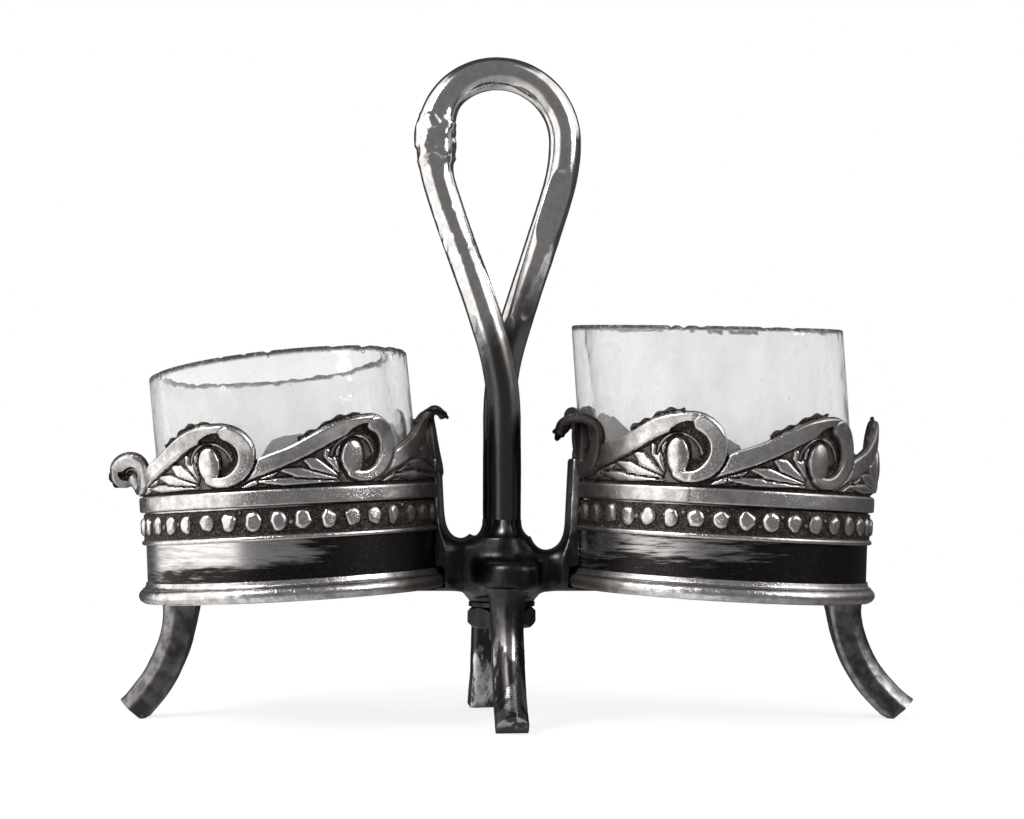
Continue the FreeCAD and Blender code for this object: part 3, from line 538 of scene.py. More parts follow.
# Round the curl, clockwise from the crest: angle, width.
CURL = [(90, 3.0), (45, 3.0), (0, 2.9), (-45, 2.6), (-80, 2.1), (-118, 1.7)]
EYE = (-2.2, -1.5, 1.95, 3.1)  # middle along, middle up, half width, half height
# Leaves of the fans: root, tip, width.
RAYS = [((-4.6, -5.4), (-17.2, -4.9), 1.5), ((-4.9, -4.9), (-13.6, -3.1), 1.9),
        ((-4.7, -4.4), (-10.0, -1.4), 2.2), ((-4.5, -3.9), (-6.6, 0.2), 1.9),
        ((-4.7, -1.0), (-4.6, 1.6), 1.1), ((2.9, -5.9), (8.6, -3.5), 1.8)]


def near_line(x, y, line, widths):
    """At each grid point, the distance outside a ribbon and the share of the way along it."""
    best = np.full(x.shape, FAR)
    share = np.zeros(x.shape)
    for k in range(len(line) - 1):
        (ax, ay), (bx, by) = line[k], line[k + 1]
        dx, dy = bx - ax, by - ay
        t = np.clip(((x - ax) * dx + (y - ay) * dy) / (dx * dx + dy * dy), 0, 1)
        width = widths[k] + (widths[k + 1] - widths[k]) * t
        away = np.hypot(x - ax - t * dx, y - ay - t * dy) - width / 2
        closer = away < best
        best = np.where(closer, away, best)
        share = np.where(closer, (k + t) / (len(line) - 1), share)
    return best, share


def ribbon_line():
    """The ribbon's middle line and widths, and the number of the point where the curl begins."""
    tail = cubic_through(TAIL, 40, (1, 0, 0))
    angles = np.linspace(CURL[0][0], CURL[-1][0], 36)
    widths = np.interp(-angles, [-a for a, _ in CURL], [w for _, w in CURL])
    reach = CURL_RADIUS - widths / 2
    curl = np.stack([reach * np.cos(np.radians(angles)), reach * np.sin(np.radians(angles)), widths], axis=1)
    line = np.concatenate([tail, curl[1:]])
    return line[:, :2], line[:, 2], len(tail) - 1


def press(relief, away, top, groove=0.22, edge=0.45, lip=0.35):
    """Lays a shape over a relief: a groove outside it, a rounded edge, then its top."""
    outside = np.where((away > 0) & (away < lip), groove + away / lip * 0.4, FAR)
    relief = np.minimum(relief, outside)
    rounded = np.sqrt(np.clip(1 - (1 - np.clip(-away / edge, 0, 1)) ** 2, 0, 1))
    return np.where(away < 0, np.maximum(groove, top * (0.35 + 0.65 * rounded)), relief)


def add_rays(relief, px, py):
    """The fan of leaves beside a curl."""
    for (ax, ay), (bx, by), width in RAYS:
        middle = (ax + 0.7 * (bx - ax), ay + 0.7 * (by - ay))
        away, _ = near_line(px, py, [(ax, ay), middle, (bx, by)], [0.5, width, width * 0.35])
        relief = press(relief, away, 0.95, groove=0.14, edge=0.4, lip=0.22)
    return relief


def add_curl(relief, px, py, line, widths, crest):
    """A curl's hollow with its collar, the ribbon's end and the eye."""
    inside = np.hypot(px, py) < CURL_RADIUS - 1.5
    hollow = smooth_step(0.2, 1.6, np.hypot(px, py + 0.3) - 1.2)
    relief = np.where(inside, np.minimum(relief, 0.18 + 0.3 * (1 - hollow)), relief)
    collar, _ = near_line(px, py, arc((EYE[0] + 0.2, EYE[1] - 0.2), 3.75, 170, 10, 12), [0.45] * 12)
    relief = press(relief, collar, 0.75, groove=0.15, edge=0.25, lip=0.25)
    end, _ = near_line(px, py, line[crest + 4:], widths[crest + 4:])
    ribbon, _ = near_line(px, py, line, widths)
    fresh = press(relief, end, 1.25, groove=0.15)
    relief = np.where((end < 0) | (ribbon > 0), fresh, relief)
    ring = np.hypot((px - EYE[0]) / EYE[2], (py - EYE[1]) / EYE[3])
    eye = (ring - 1) * min(EYE[2:])
    dome = 0.75 + 0.75 * np.sqrt(np.clip(1 - ring ** 2, 0, 1))
    fresh = press(relief, eye, dome, groove=0.12, edge=0.3)
    return np.where((end < 0) & (eye > -0.6), np.maximum(relief, fresh), fresh)


def scroll_relief(along, up, seed):
    """Height of the scrolls' front over their back, and distance outside their outline."""
    x, y = np.meshgrid(along, up, indexing="ij")
    line, widths, crest = ribbon_line()
    relief = np.full(x.shape, 0.5)
    outline = np.full(x.shape, FAR)
    scrolls = []
    for k in range(-1, SCROLLS + 1):
        near = x - k * PITCH
        spot = (near > SCROLL_START) & (near < SCROLL_END)
        if spot.any():
            scrolls.append((spot, near[spot], y[spot]))
    for spot, px, py in scrolls:
        relief[spot] = add_rays(relief[spot], px, py)
    for spot, px, py in scrolls:
        away, share = near_line(px, py, line, widths)
        relief[spot] = press(relief[spot], away, 0.62 + 0.63 * smooth_step(0.02, 0.2, share), groove=0.15)
        top_line = np.interp(px, line[:crest + 1, 0], line[:crest + 1, 1], left=-9, right=-9)
        # Ragged metal left standing behind the crest.
        flash = 0.55 + 0.35 * np.sin(px * 1.9 + seed) * np.sin(px * 0.83 + 2 * seed)
        behind = np.maximum(away - flash, np.maximum(px + 1.0, -px - 11.0))
        here = np.minimum.reduce([away, py - top_line, np.hypot(px, py) - CURL_RADIUS, behind])
        outline[spot] = np.minimum(outline[spot], here)
    for spot, px, py in scrolls:
        relief[spot] = add_curl(relief[spot], px, py, line, widths, crest)
    ring_bottom, ring_top = RING_BOTTOM - CURL_HEIGHT, RING_TOP - CURL_HEIGHT
    band = np.maximum(ring_bottom - y, y - ring_top)
    relief = press(np.where(y < ring_top + 0.45, 0.16, relief), band, 0.8, groove=0.16, edge=0.35)
    outline = np.minimum(outline, y - ring_top - 1.0)
    return relief, np.maximum(outline, ring_bottom - y)


def strip_grid(cell, low, high):
    """Distances round a drum and up it at which a strip's relief is worked out."""
    count = round(ROUND_DRUM / cell)
    return np.arange(count) * (ROUND_DRUM / count), np.arange(low, high, cell)


def strip_surface(relief, outline, thick, cell):
    """A strip, flat at the back, with relief in front and cut off at its outline.

    Returns each point's turn round the drum, height over the grid and depth over the back, and the faces.
    """
    layers = np.arange(-2, int(thick / cell) + 3) * cell
    front = layers[None, None, :] - relief[:, :, None]
    back = -layers[None, None, :] - 0.5 * cell
    field = soft_max(np.maximum(front, back), outline[:, :, None], 0.3)
    points, faces = surface_of(field.astype(np.float32), wrap=True)
    turn, height, depth = (points * (2 * pi / len(field), cell, cell)).T
    return turn, height, depth + layers[0], faces


def by_direction(values, turn):
    """A value that changes smoothly round a drum from -X over the front (or back) to +X."""
    left, front, right = values
    sideways = np.sin(turn)
    return front + np.where(sideways < 0, left - front, right - front) * sideways ** 2


def drum_points(place, radius, turn, level):
    """Points in the row frame, from radius, turn from the front and height on a drum."""
    return out_of(place, np.stack([radius * np.sin(turn), -radius * np.cos(turn), level], axis=1))


def bent_back(side, turn, rise, share):
    """How far out and up the bent sheet has come at each point, and its slope there."""
    flare = np.radians(by_direction(FLARE[side], turn))
    hooks = [(np.clip(towards * np.sin(turn), 0, 1) ** 8, *bend) for towards, *bend in HOOKS[side]]
    plain = 1 - sum(hook[0] for hook in hooks)
    rise = rise * (1 + sum((drawn - 1) * near for near, *_, drawn in hooks))
    outward, upward, slope = np.zeros_like(rise), np.zeros_like(rise), np.zeros_like(rise)
    for k in range(BEND_STEPS):
        at = share * (k + 0.5) / BEND_STEPS
        slope = flare * at ** 2 * plain
        for near, lean, roll, start, end, _ in hooks:
            slope += near * np.radians(roll * smooth_step(start, end, at) - lean * smooth_step(0, 0.1, at))
        outward += np.sin(slope) * rise / BEND_STEPS
        upward += np.cos(slope) * rise / BEND_STEPS
    return outward, upward, slope


def make_gallery(side, place, paint):
    """The flared running scrolls, standing up from a plain ring."""
    along, up = strip_grid(SCROLL_CELL, RING_BOTTOM - CURL_HEIGHT - 0.6, CURL_RADIUS + 1.4)
    seed = 1 + ORDER[side]
    relief, outline = scroll_relief(along, up, seed)
    relief = relief + 0.03 * np.sin(along[:, None] * 0.9 + seed) * np.sin(up[None, :] * 1.3 + seed)
    turn, height, depth, faces = strip_surface(relief, outline, SCROLL_THICK, SCROLL_CELL)
    shine = np.where(depth > 0.05, depth / 1.2, 0.35)
    turn += radians(CURL_TURN[side])
    height += up[0] + CURL_HEIGHT
    rise = np.clip(height - RING_TOP, 0, None)
    share = rise / (CURL_HEIGHT + CURL_RADIUS - RING_TOP)
    outward, upward, slope = bent_back(side, turn, rise, share)
    level = np.where(rise > 0, RING_TOP + upward, height) - depth * np.sin(slope)
    level += by_direction(LIFT[side], turn) * np.clip(share, 0, 1)
    radius = BACK_RADIUS + outward + depth * np.cos(slope)
    make_piece(f"{side}_running_scrolls", drum_points(place, radius, turn, level), faces,
               f"{side}_scroll_gallery", paint, sharp=180, relief=shine)


BEADS = 40
BEAD_PITCH = ROUND_DRUM / BEADS
BEAD_PHASE = radians(2.0)  # turn of the bead nearest the front
BEAD_CELL, BEAD_THICK = 0.16, 1.3
LINE_HIGH = 0.85  # the thin moulding along the strip's foot


def make_beads(side, place, paint):
    """The beaded strip: an uneven ground, a row of worn beads and a thin moulding below."""
    foot, top, _, _ = extent(f"{side}_bead_band", place)
    along, up = strip_grid(BEAD_CELL, foot - 0.5, top + 0.5)
    x, y = np.meshgrid(along, up, indexing="ij")
    rng = np.random.default_rng(11 + ORDER[side])
    relief = 0.2 + 0.05 * np.sin(x * 2.3) * np.sin(y * 3.1)
    middle = (foot + 0.9 + top) / 2
    for k in range(BEADS):
        dx = (x - (k + 0.5) * BEAD_PITCH + ROUND_DRUM / 2) % ROUND_DRUM - ROUND_DRUM / 2
        half_wide, half_high = 1.42 + 0.10 * rng.standard_normal(), 1.55 + 0.06 * rng.standard_normal()
        off, rise = 0.10 * rng.standard_normal(), 0.06 * rng.standard_normal()
        px, py = dx - off, y - middle - rise
        # A few slanting chords take the roundness off the outline, as in a worn casting.
        away = np.hypot(px / half_wide, py / half_high) - 1
        for _ in range(3):
            aim, keep = rng.uniform(-pi, pi), rng.uniform(0.80, 0.97)
            away = np.maximum(away, (px * cos(aim) / half_wide + py * sin(aim) / half_high) - keep)
        dome = 0.2 + 0.62 * np.clip(-away / 0.42, 0, 1) ** 0.5
        worn = 0.74 + 0.10 * rng.random() + rng.normal(0, 0.09) * px + rng.normal(0, 0.07) * py
        relief = np.where(away < 0, np.maximum(relief, soft_min(dome, worn, 0.07)), relief)
        speck = np.hypot(px - BEAD_PITCH / 2 - rng.normal(0, 0.15), py - rng.normal(0, 0.9))
        speck -= 0.45 * rng.random()
        relief = np.where(speck < 0, np.maximum(relief, 0.42), relief)
    relief = press(relief, np.maximum(foot - y, y - foot - LINE_HIGH), 0.62, groove=0.2, edge=0.3)
    turn, level, depth, faces = strip_surface(relief, np.maximum(foot - y, y - top), BEAD_THICK, BEAD_CELL)
    turn += BEAD_PHASE - pi / BEADS
    level += up[0]
    shine = np.clip((depth - 0.12) / 0.62, 0, 1.2)
    make_piece(f"{side}_beads", drum_points(place, BACK_RADIUS + depth, turn, level), faces,
               f"{side}_bead_band", paint, sharp=180, relief=shine)


def dented(points, depth, grain, seed):
    """Points of a round piece with shallow dents in and out."""
    radial = points * [1, 1, 0]
    radial /= np.maximum(np.linalg.norm(radial, axis=1)[:, None], 1e-6)
    return points + radial * (depth * bump_noise(points, grain, seed))[:, None]


LIT_SIDE_HIGHLIGHT = {"left": 0.85, "right": 0.5}  # how far a painted highlight brightens a wall's left half
BEAD_OF_RING, COVE = 1.15, 0.62  # radii of the base ring's moulding


def make_wall(side, place, paint):
    """The plain sheet wall, a little out of true, with a painted highlight towards -X and painted shade
    towards +X.
    """
    foot, top, bore, radius = extent(f"{side}_drum_wall", place)
    profile = smooth_outline([(bore, foot), (radius, foot), (radius, top), (bore, top)], 0.9)
    points, faces = lathe(profile, 256)
    points = dented(points, 0.07, 9.0, 3 + ORDER[side])
    # Painted highlight and shade: brighter towards -X and higher up, brightest in a strip at the far -X edge,
    # dark towards +X.
    to_right = points[:, 0] / radius
    upper = smooth_step(4.6, 7.0, points[:, 2])
    brightened = (1 - smooth_step(-0.15, 0.65, to_right)) * (0.3 + 0.7 * upper)
    brightened = LIT_SIDE_HIGHLIGHT[side] * brightened + 0.25 * (1 - smooth_step(-0.95, -0.6, to_right))
    make_piece(f"{side}_plain_wall", out_of(place, points), faces, f"{side}_drum_wall", paint, relief=brightened)


def make_base_ring(side, place, paint):
    """The moulded ring at the drum's foot, worn and nicked along its edge."""
    foot, top, _, radius = extent(f"{side}_base_ring", place)
    _, floor_top, _, floor_radius = extent(f"{side}_drum_floor", place)
    _, _, _, wall = extent(f"{side}_drum_wall", place)
    bore, seat = wall + SOLDER_GAP, floor_top + SOLDER_GAP
    profile = (
        [(floor_radius + SOLDER_GAP, foot)]
        + arc((radius - BEAD_OF_RING, foot + BEAD_OF_RING), BEAD_OF_RING, -80, 70, 12)
        + arc((wall + 0.95, foot + 2.95), COVE, -100, -175, 6)
        + [(wall + 0.25, top), (bore, top), (bore, seat), (floor_radius + SOLDER_GAP, seat)]
    )
    points, faces = lathe(profile, 320)
    around = np.hypot(points[:, 0], points[:, 1])
    rough = bump_noise(points, 1.3, 5 + ORDER[side]) + 0.5 * bump_noise(points, 0.5, 7)
    worn = np.where(around > wall + 0.4, 0.10 * np.minimum(rough, 0.25), 0)
    points = points + points * [1, 1, 0] * (worn / around)[:, None]
    make_piece(f"{side}_foot_moulding", out_of(place, points), faces, f"{side}_base_ring", paint, sharp=60)


# ---- Liners ----


GLASS_WALL, GLASS_BASE, RIM_ROUND = 2.4, 4.5, 0.35
NICKS, RIM_DEEP = 70, 1.6  # number of nicks in a rim, and how far down they reach


def liner_profile(foot, top, radius):
    """A cup's outline, closely stepped near the rim, where the glass turns dark."""
    inner, inside_foot = radius - GLASS_WALL, foot + GLASS_BASE
    shadow = (0.6, 0.8, 1.0, 1.4)
    return (
        [(0.01, foot + 0.7), (radius * 0.55, foot + 0.35), (radius - 3.4, foot)]
        + arc((radius - 1.3, foot + 1.3), 1.3, -90, 0, 6)
        + [(radius, foot + (top - foot) * k / 14) for k in range(2, 14)]
        + [(radius, top - drop) for drop in reversed(shadow)]
        + arc((radius - RIM_ROUND, top - RIM_ROUND), RIM_ROUND, 0, 90, 4)
        + [(radius - GLASS_WALL * part, top) for part in (0.3, 0.5, 0.7)]
        + arc((inner + RIM_ROUND, top - RIM_ROUND), RIM_ROUND, 90, 180, 4)
        + [(inner, top - drop) for drop in shadow]
        + [(inner, top - (top - inside_foot - 3) * k / 12) for k in range(1, 12)]
        + arc((inner - 3.4, inside_foot + 3.4), 3.4, 0, -90, 8)
        + [(inner * 0.4, inside_foot), (0.01, inside_foot)]
    )


def nicks(turn, rng):
    """Depth of the nicks in a rim at each turn about the cup's axis."""
    nick = np.zeros(len(turn))
    for _ in range(NICKS):
        at, wide, deep = rng.uniform(-pi, pi), rng.uniform(0.012, 0.045), rng.uniform(0.02, 0.7) ** 2
        off = (turn - at + pi) % (2 * pi) - pi
        nick = np.maximum(nick, deep * np.clip(1 - (off / wide) ** 2, 0, 1))
    return nick


def make_liner(side):
    """A straight glass cup with a thick base and a slanting, nicked, ground rim."""
    place = liner_frame(side)
    rim, tilt = rim_plane(side, place)
    foot, _, _, radius = extent(f"{side}_glass_liner", place)
    top = rim[2]
    points, faces = lathe(liner_profile(foot, top, radius), 420)
    depth = nicks(np.arctan2(points[:, 1], points[:, 0]), np.random.default_rng(21 + ORDER[side]))
    depth *= smooth_step(top - RIM_DEEP, top - 0.1, points[:, 2])
    points[:, 2] -= depth
    inside = np.hypot(points[:, 0], points[:, 1]) < radius - GLASS_WALL / 2
    points[:, :2] *= (1 + np.where(inside, 0.5, -0.5) * depth / radius)[:, None]
    # The rim's top, which is ground rough and takes the painted shade.
    ground = smooth_step(top - 0.75, top - 0.45, points[:, 2] + depth * 0.8)
    slant = -(points[:, :2] - rim[:2]) @ tilt[:2] / tilt[2]
    upright = foot + GLASS_BASE + 3  # the slant starts here
    points[:, 2] += slant * np.clip((points[:, 2] - upright) / (top - upright), 0, 1)
    paint = liner_glass(f"{side}_liner_glass")
    make_piece(f"{side}_glass_cup", out_of(place, points), faces, f"{side}_glass_liner", paint, sharp=50,
               relief=ground, body=f"{side}_liner")


# ---- Handle ----

ROD = 2.8
APART = ROD + 0.15  # from the handle's axis to the middle of a strand
LOOP_RADIUS, FLANK_RADIUS, SPREAD_RADIUS, LEAN_RADIUS = 11.5, 30.0, 50.0, 120.0
SPREAD, LEAN = radians(17.5), radians(0.5)
MERGE_RUN = 22.0  # length over which a strand comes in to the loop's middle plane
PATH_STEP = 0.3
ROD_SIDES = 56
CENTRE_TURN = 9.0  # how far handle and tongue are turned about the vertical, in degrees
# Worn flats on the right strand: height, half length, facing along X, distance from the rod's middle.
FLATS = [(87.0, 6.2, -0.12, 2.05), (72.0, 4.5, 0.3, 2.5), (64.0, 3.5, -0.5, 2.45)]
PITS_LEVEL, PITS_SPREAD = 81, 5


def centre_axis():
    """Where the handle's axis stands: the middle of its round washer."""
    return np.mean(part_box("handle_washer"), axis=0) / MM * [1, 1, 0]


def spun(points, degrees, axis=(0, 0, 0)):
    """Points turned about the vertical, then moved to an axis."""
    c, s = cos(radians(degrees)), sin(radians(degrees))
    return points @ np.array([[c, s, 0], [-s, c, 0], [0, 0, 1]]) + axis


class BentLine:
    """A rod's middle line, bent step by step from a start that points straight up."""

    def __init__(self, start):
        self.points = [np.array(start, float)]
        self.ahead = np.array([0, 0, 1.0])

    def straight(self, length):
        start, steps = self.points[-1], max(1, round(length / PATH_STEP))
        self.points += [start + self.ahead * (length * k / steps) for k in range(1, steps + 1)]

    def bend(self, towards, radius, angle):
        """Turns towards a direction square to the way ahead, and returns that direction after the turn."""
        start, ahead = self.points[-1], self.ahead
        for a in np.linspace(0, angle, max(4, round(radius * angle / PATH_STEP)) + 1)[1:]:
            forward, aside = radius * sin(a), radius * (1 - cos(a))
            self.points.append(start + ahead * forward + towards * aside)
        self.ahead = ahead * cos(angle) + towards * sin(angle)
        return towards * cos(angle) - ahead * sin(angle)


def half_handle(side, low, high):
    """The rod's middle line from a strand's foot to the loop's top. The left strand stands in front."""
    bends = SPREAD_RADIUS + FLANK_RADIUS
    slant = (LOOP_RADIUS - bends * (1 - cos(SPREAD))) / sin(SPREAD)
    loop_rise = bends * sin(SPREAD) + slant * cos(SPREAD) + LOOP_RADIUS
    rise = loop_rise * cos(LEAN) + LEAN_RADIUS * sin(LEAN)
    rod = BentLine((0, side * APART, low))
    rod.straight(high - ROD - rise - low)
    leftwards = rod.bend(np.array([-1.0, 0, 0]), LEAN_RADIUS, LEAN)
    outwards = rod.bend(leftwards * -side, SPREAD_RADIUS, SPREAD)
    angle = 2 * atan2(APART, MERGE_RUN)
    radius = MERGE_RUN / 2 / sin(angle)
    rod.straight((slant - MERGE_RUN) / 2)
    inwards = rod.bend(np.array([0, -side, 0.0]), radius, angle)
    rod.bend(-inwards, radius, angle)
    rod.straight((slant - MERGE_RUN) / 2)
    inwards = rod.bend(-outwards, FLANK_RADIUS, SPREAD)
    rod.bend(inwards, LOOP_RADIUS, pi / 2)
    return rod.points


def solder_joint(middle, outward, points):
    """The old repair on the left shoulder: a lumpy collar, thickest on the inside."""
    height, left = middle[:, 2], middle[:, 0] < -4
    collar = smooth_step(93.2, 94.4, height) * (1 - smooth_step(101.2, 102.2, height)) * left
    inner = np.clip(outward[:, 0], 0, 1) * smooth_step(91, 96, height) * (1 - smooth_step(101, 107, height))
    lumps = bump_noise(points, 1.9, 33)
    return collar * (0.14 + 0.26 * smooth_step(-0.15, 0.15, lumps) + 0.08 * lumps) + 0.8 * inner * left


def make_handle(paint):
    """One bent round rod, with a solder repair on the left and worn flats on the right."""
    low, high = np.array(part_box("handle_loop"))[:, 2] / MM
    path = np.array(half_handle(-1, low, high) + half_handle(1, low, high)[-2::-1])
    around = np.linspace(0, 2 * pi, ROD_SIDES, endpoint=False)
    circle = np.stack([np.cos(around), np.sin(around)], axis=1) * ROD
    points, faces = sweep(path, np.repeat(circle[None], len(path), axis=0), (1, 0, 0))
    middle = np.repeat(path, ROD_SIDES, axis=0)
    outward = (points - middle) / ROD
    grown = 0.05 * bump_noise(points, 6.0, 31) + 0.02 * bump_noise(points, 1.4, 32)
    grown += solder_joint(middle, outward, points)
    pitted = np.exp(-((middle[:, 2] - PITS_LEVEL) / PITS_SPREAD) ** 2) * (middle[:, 0] < -3)
    grown -= 0.14 * smooth_step(0.22, 0.42, bump_noise(points, 1.5, 34)) * pitted
    points = points + outward * grown[:, None]
    for level, half, facing_x, keep in FLATS:
        normal = np.array([facing_x, -sqrt(1 - facing_x ** 2), 0])
        length = np.abs(middle[:, 2] - level) / half
        limit = keep + (ROD - keep) * np.clip(length, 0, 2) ** 4
        limit = np.where((middle[:, 0] > 0.5) & (length < 1.3), limit, FAR)
        points = points - np.clip((points - middle) @ normal - limit, 0, None)[:, None] * normal
    points = spun(points, CENTRE_TURN, centre_axis())
    make_piece("bent_rod_handle", points, faces, "handle_loop", paint, sharp=60)


# ---- Legs ----

LEG_WIDE, LEG_THICK, LEG_SIDES = 5.2, 5.4, 44
BEND_START, BEND_OVERRUN = 19.9, 1.5
SIDE_TOP, CENTRE_TOP = 20.6, 22.25
# For each leg: distance of its root from the axis it stands round, height of its top, turn about that axis in
# degrees, seed, radius of its bend, and the cut end's reach from the root, height and slope in degrees.
SIDE_LEGS = {
    "right": (57.0, SIDE_TOP, 0, 41, 23.2, (9.2, 1.25, 38.0)),
    "left": (55.2, SIDE_TOP, 180, 42, 26.0, (7.7, 1.25, 38.0)),
}
CENTRE_LEGS = {
    "front": (11.4, CENTRE_TOP, 275.2, 43, 23.2, (9.2, 1.25, 38.0)),
    "rear": (11.4, CENTRE_TOP, 104.0, 44, 60.0, (3.0, 0.4, 14.0)),
}


def leg_section():
    """A D, flat towards the set's middle and slightly facetted on its outward side."""
    half = LEG_WIDE / 2
    inner, shoulder, crown = -LEG_THICK / 2, 0.5, LEG_THICK / 2
    right = [(inner, half - 0.5), (inner + 0.45, half), (shoulder, half), (crown - 0.75, half * 0.62),
             (crown, half * 0.2)]
    corners = [(x, -y) for x, y in right] + right[::-1]
    dense = np.array(smooth_outline(corners, 0.15))
    soft = sum(np.roll(dense, k, axis=0) for k in range(-2, 3)) / 5
    return soft[np.linspace(0, len(soft), LEG_SIDES, endpoint=False).astype(int)]


def trimmed(points, faces, planes):
    """A closed mesh cut off at planes (point, normal), with a flat face on each cut."""
    shape = bmesh.new()
    corners = [shape.verts.new(p) for p in points]
    for face in faces:
        shape.faces.new([corners[i] for i in face])
    for at, normal in planes:
        everything = [*shape.verts, *shape.edges, *shape.faces]
        cut = bmesh.ops.bisect_plane(shape, geom=everything, plane_co=at, plane_no=normal, clear_outer=True)
        loop = [e for e in cut["geom_cut"] if isinstance(e, bmesh.types.BMEdge)]
        if loop:
            bmesh.ops.contextual_create(shape, geom=loop)
    shape.verts.index_update()
    points = np.array([v.co[:] for v in shape.verts])
    faces = [tuple(v.index for v in f.verts) for f in shape.faces]
    shape.free()
    return points, faces


def under_drum(place, turn):
    """The plane just below a drum, seen from the leg that carries it."""
    foot = place[:3, 3] - place[:3, 2] * SOLDER_GAP
    return spun(foot, -turn), spun(place[:3, 2], -turn)


def make_leg(name, shape, axis, paint, drum=None):
    """A bar that drops from its flared root, bends outwards and is cut off on the slant."""
    root, top, turn, seed, bend, (toe_reach, toe_height, toe_slope) = shape
    straight = [(root, 0, z) for z in np.linspace(top, BEND_START, 8)[:-1]]
    turns = np.linspace(0, asin((BEND_START + BEND_OVERRUN) / bend), 80)
    curve = [(root + bend * (1 - cos(a)), 0, BEND_START - bend * sin(a)) for a in turns]
    path, section = np.array(straight + curve), leg_section()
    sections = np.stack([section * (1 + 0.42 * exp(-(top - p[2]) / 1.5)) for p in path])
    points, faces = sweep(path, sections, (1, 0, 0))
    outward = points - np.repeat(path, len(section), axis=0)
    outward /= np.linalg.norm(outward, axis=1)[:, None]
    uneven = 0.09 * bump_noise(points, 3.5, seed) + 0.03 * bump_noise(points, 1.1, seed)
    slope = radians(toe_slope)
    toe = (root + toe_reach, 0, toe_height), (sin(slope), 0, -cos(slope))
    floor = (0, 0, 0), (0, 0, -1)
    planes = [toe, floor] if drum is None else [toe, floor, under_drum(drum, turn)]
    points, faces = trimmed(points + outward * uneven[:, None], faces, planes)
    make_piece(f"{name}_leg_bar", spun(points, turn, axis), faces, f"{name}_leg", paint, sharp=35)


# ---- Bridge ----

BRIDGE_CELL = 0.3
# For each side: height of the arm's top, and the strap's outer radius.
ARM = {"left": (29.3, 25.5), "right": (27.7, 26.3)}
ARM_FOOT, ARM_REACH = 21.6, 26
STRAP_FOOT, STRAP_TOP, STRAP_HALF, STRAP_INNER = 24, 43.5, 6.0, 24.0
STEM_ACROSS, STEM_DEEP, STEM_TOP = 4.6, 7.4, 30.4
TONGUE_HALF, TONGUE_REACH, TONGUE_MIDDLE, TONGUE_HIGH = 4.7, 10.4, 24.05, 4.7
BOSS_RADIUS, BOSS_TOP, STUD_HOLE = 5.4, 25, 2.5
# What the bridge keeps clear of: the base ring up to its top, in a drum's own frame, and the wall above it.
RING_CLEAR, RING_CLEAR_TOP, WALL_CLEAR = 26.15, 3.35, 24.66


def box_field(p, low, high, rounding):
    """Distance outside a box with rounded edges."""
    centre, half = (np.array(low) + high) / 2, (np.array(high) - low) / 2 - rounding
    q = np.abs(p - centre) - half
    return np.linalg.norm(np.maximum(q, 0), axis=-1) + np.minimum(q.max(-1), 0) - rounding


def make_bridge(places, paint):
    """The casting: arms with upright straps, a tongue over the centre legs and a boss."""
    low, high = np.array(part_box("bridge")) / MM
    axes = [np.arange(a - 1, b + 1.5, BRIDGE_CELL) for a, b in zip(low, high)]
    grid = np.stack(np.meshgrid(*axes, indexing="ij"), axis=-1)
    x, y, z = grid[..., 0], grid[..., 1], grid[..., 2]
    centred = spun(grid.reshape(-1, 3) - centre_axis(), -CENTRE_TURN).reshape(grid.shape)
    cx, cy = centred[..., 0], centred[..., 1]
    stem = (np.hypot(cx / STEM_ACROSS, cy / STEM_DEEP) - 1) * STEM_ACROSS
    field = np.maximum.reduce([stem, z - STEM_TOP, ARM_FOOT - z])
    for side, sign in SIDES.items():
        local = into(places[side], grid.reshape(-1, 3)).reshape(grid.shape)
        radius, up = np.hypot(local[..., 0], local[..., 1]), local[..., 2]
        arm_top, strap_radius = ARM[side]
        inner, outer = sorted((0, ARM_REACH * sign))
        arm = box_field(grid, (inner, -STRAP_HALF, ARM_FOOT), (outer, STRAP_HALF, arm_top), 1.6)
        field = soft_min(field, arm, 4.5)
        strap = np.maximum.reduce([radius - strap_radius, STRAP_INNER - radius, z - STRAP_TOP,
                                   STRAP_FOOT - z, sign * local[..., 0], np.abs(y) - STRAP_HALF])
        field = soft_min(field, strap, 4.5)
        clear = np.where(up < RING_CLEAR_TOP, RING_CLEAR, WALL_CLEAR)
        field = np.maximum(field, np.where(up > -SOLDER_GAP, clear - radius, -1))
    tongue = np.hypot(cx, np.maximum(np.abs(cy) - TONGUE_REACH, 0)) - TONGUE_HALF
    tongue = soft_max(tongue, np.abs(z - TONGUE_MIDDLE) - TONGUE_HIGH / 2, 1.6)
    field = soft_min(field, tongue, 2.0)
    from_axis = np.hypot(cx, cy)
    boss = np.maximum.reduce([from_axis - BOSS_RADIUS, low[2] - z, z - BOSS_TOP])
    field = np.maximum(soft_min(field, boss, 1.6), STUD_HOLE - from_axis)
    field = np.maximum(field, z - STEM_TOP - 20 * smooth_step(6.0, 8.5, np.abs(x)))
    points, faces = surface_of(field.astype(np.float32))
    points = points * BRIDGE_CELL + [a[0] for a in axes]
    make_piece("cast_bridge", points, faces, "bridge", paint, sharp=180)


# ---- Studio ----

WHITE, WARM_WHITE, FLOOR_COLOUR = (1, 1, 1, 1), (1.0, 0.985, 0.975, 1), (0.98, 0.98, 0.98, 1)
FLOOR_RADIUS, FLOOR_FADE = 0.4, (0.08, 0.3)
AIM = (0, 0, 0.05)  # what the lamps point at
CAMERA_PLACE, CAMERA_PITCH, CAMERA_LENS = (0.85 * MM, -265.7 * MM, 36.5 * MM), 3.32, 54.84


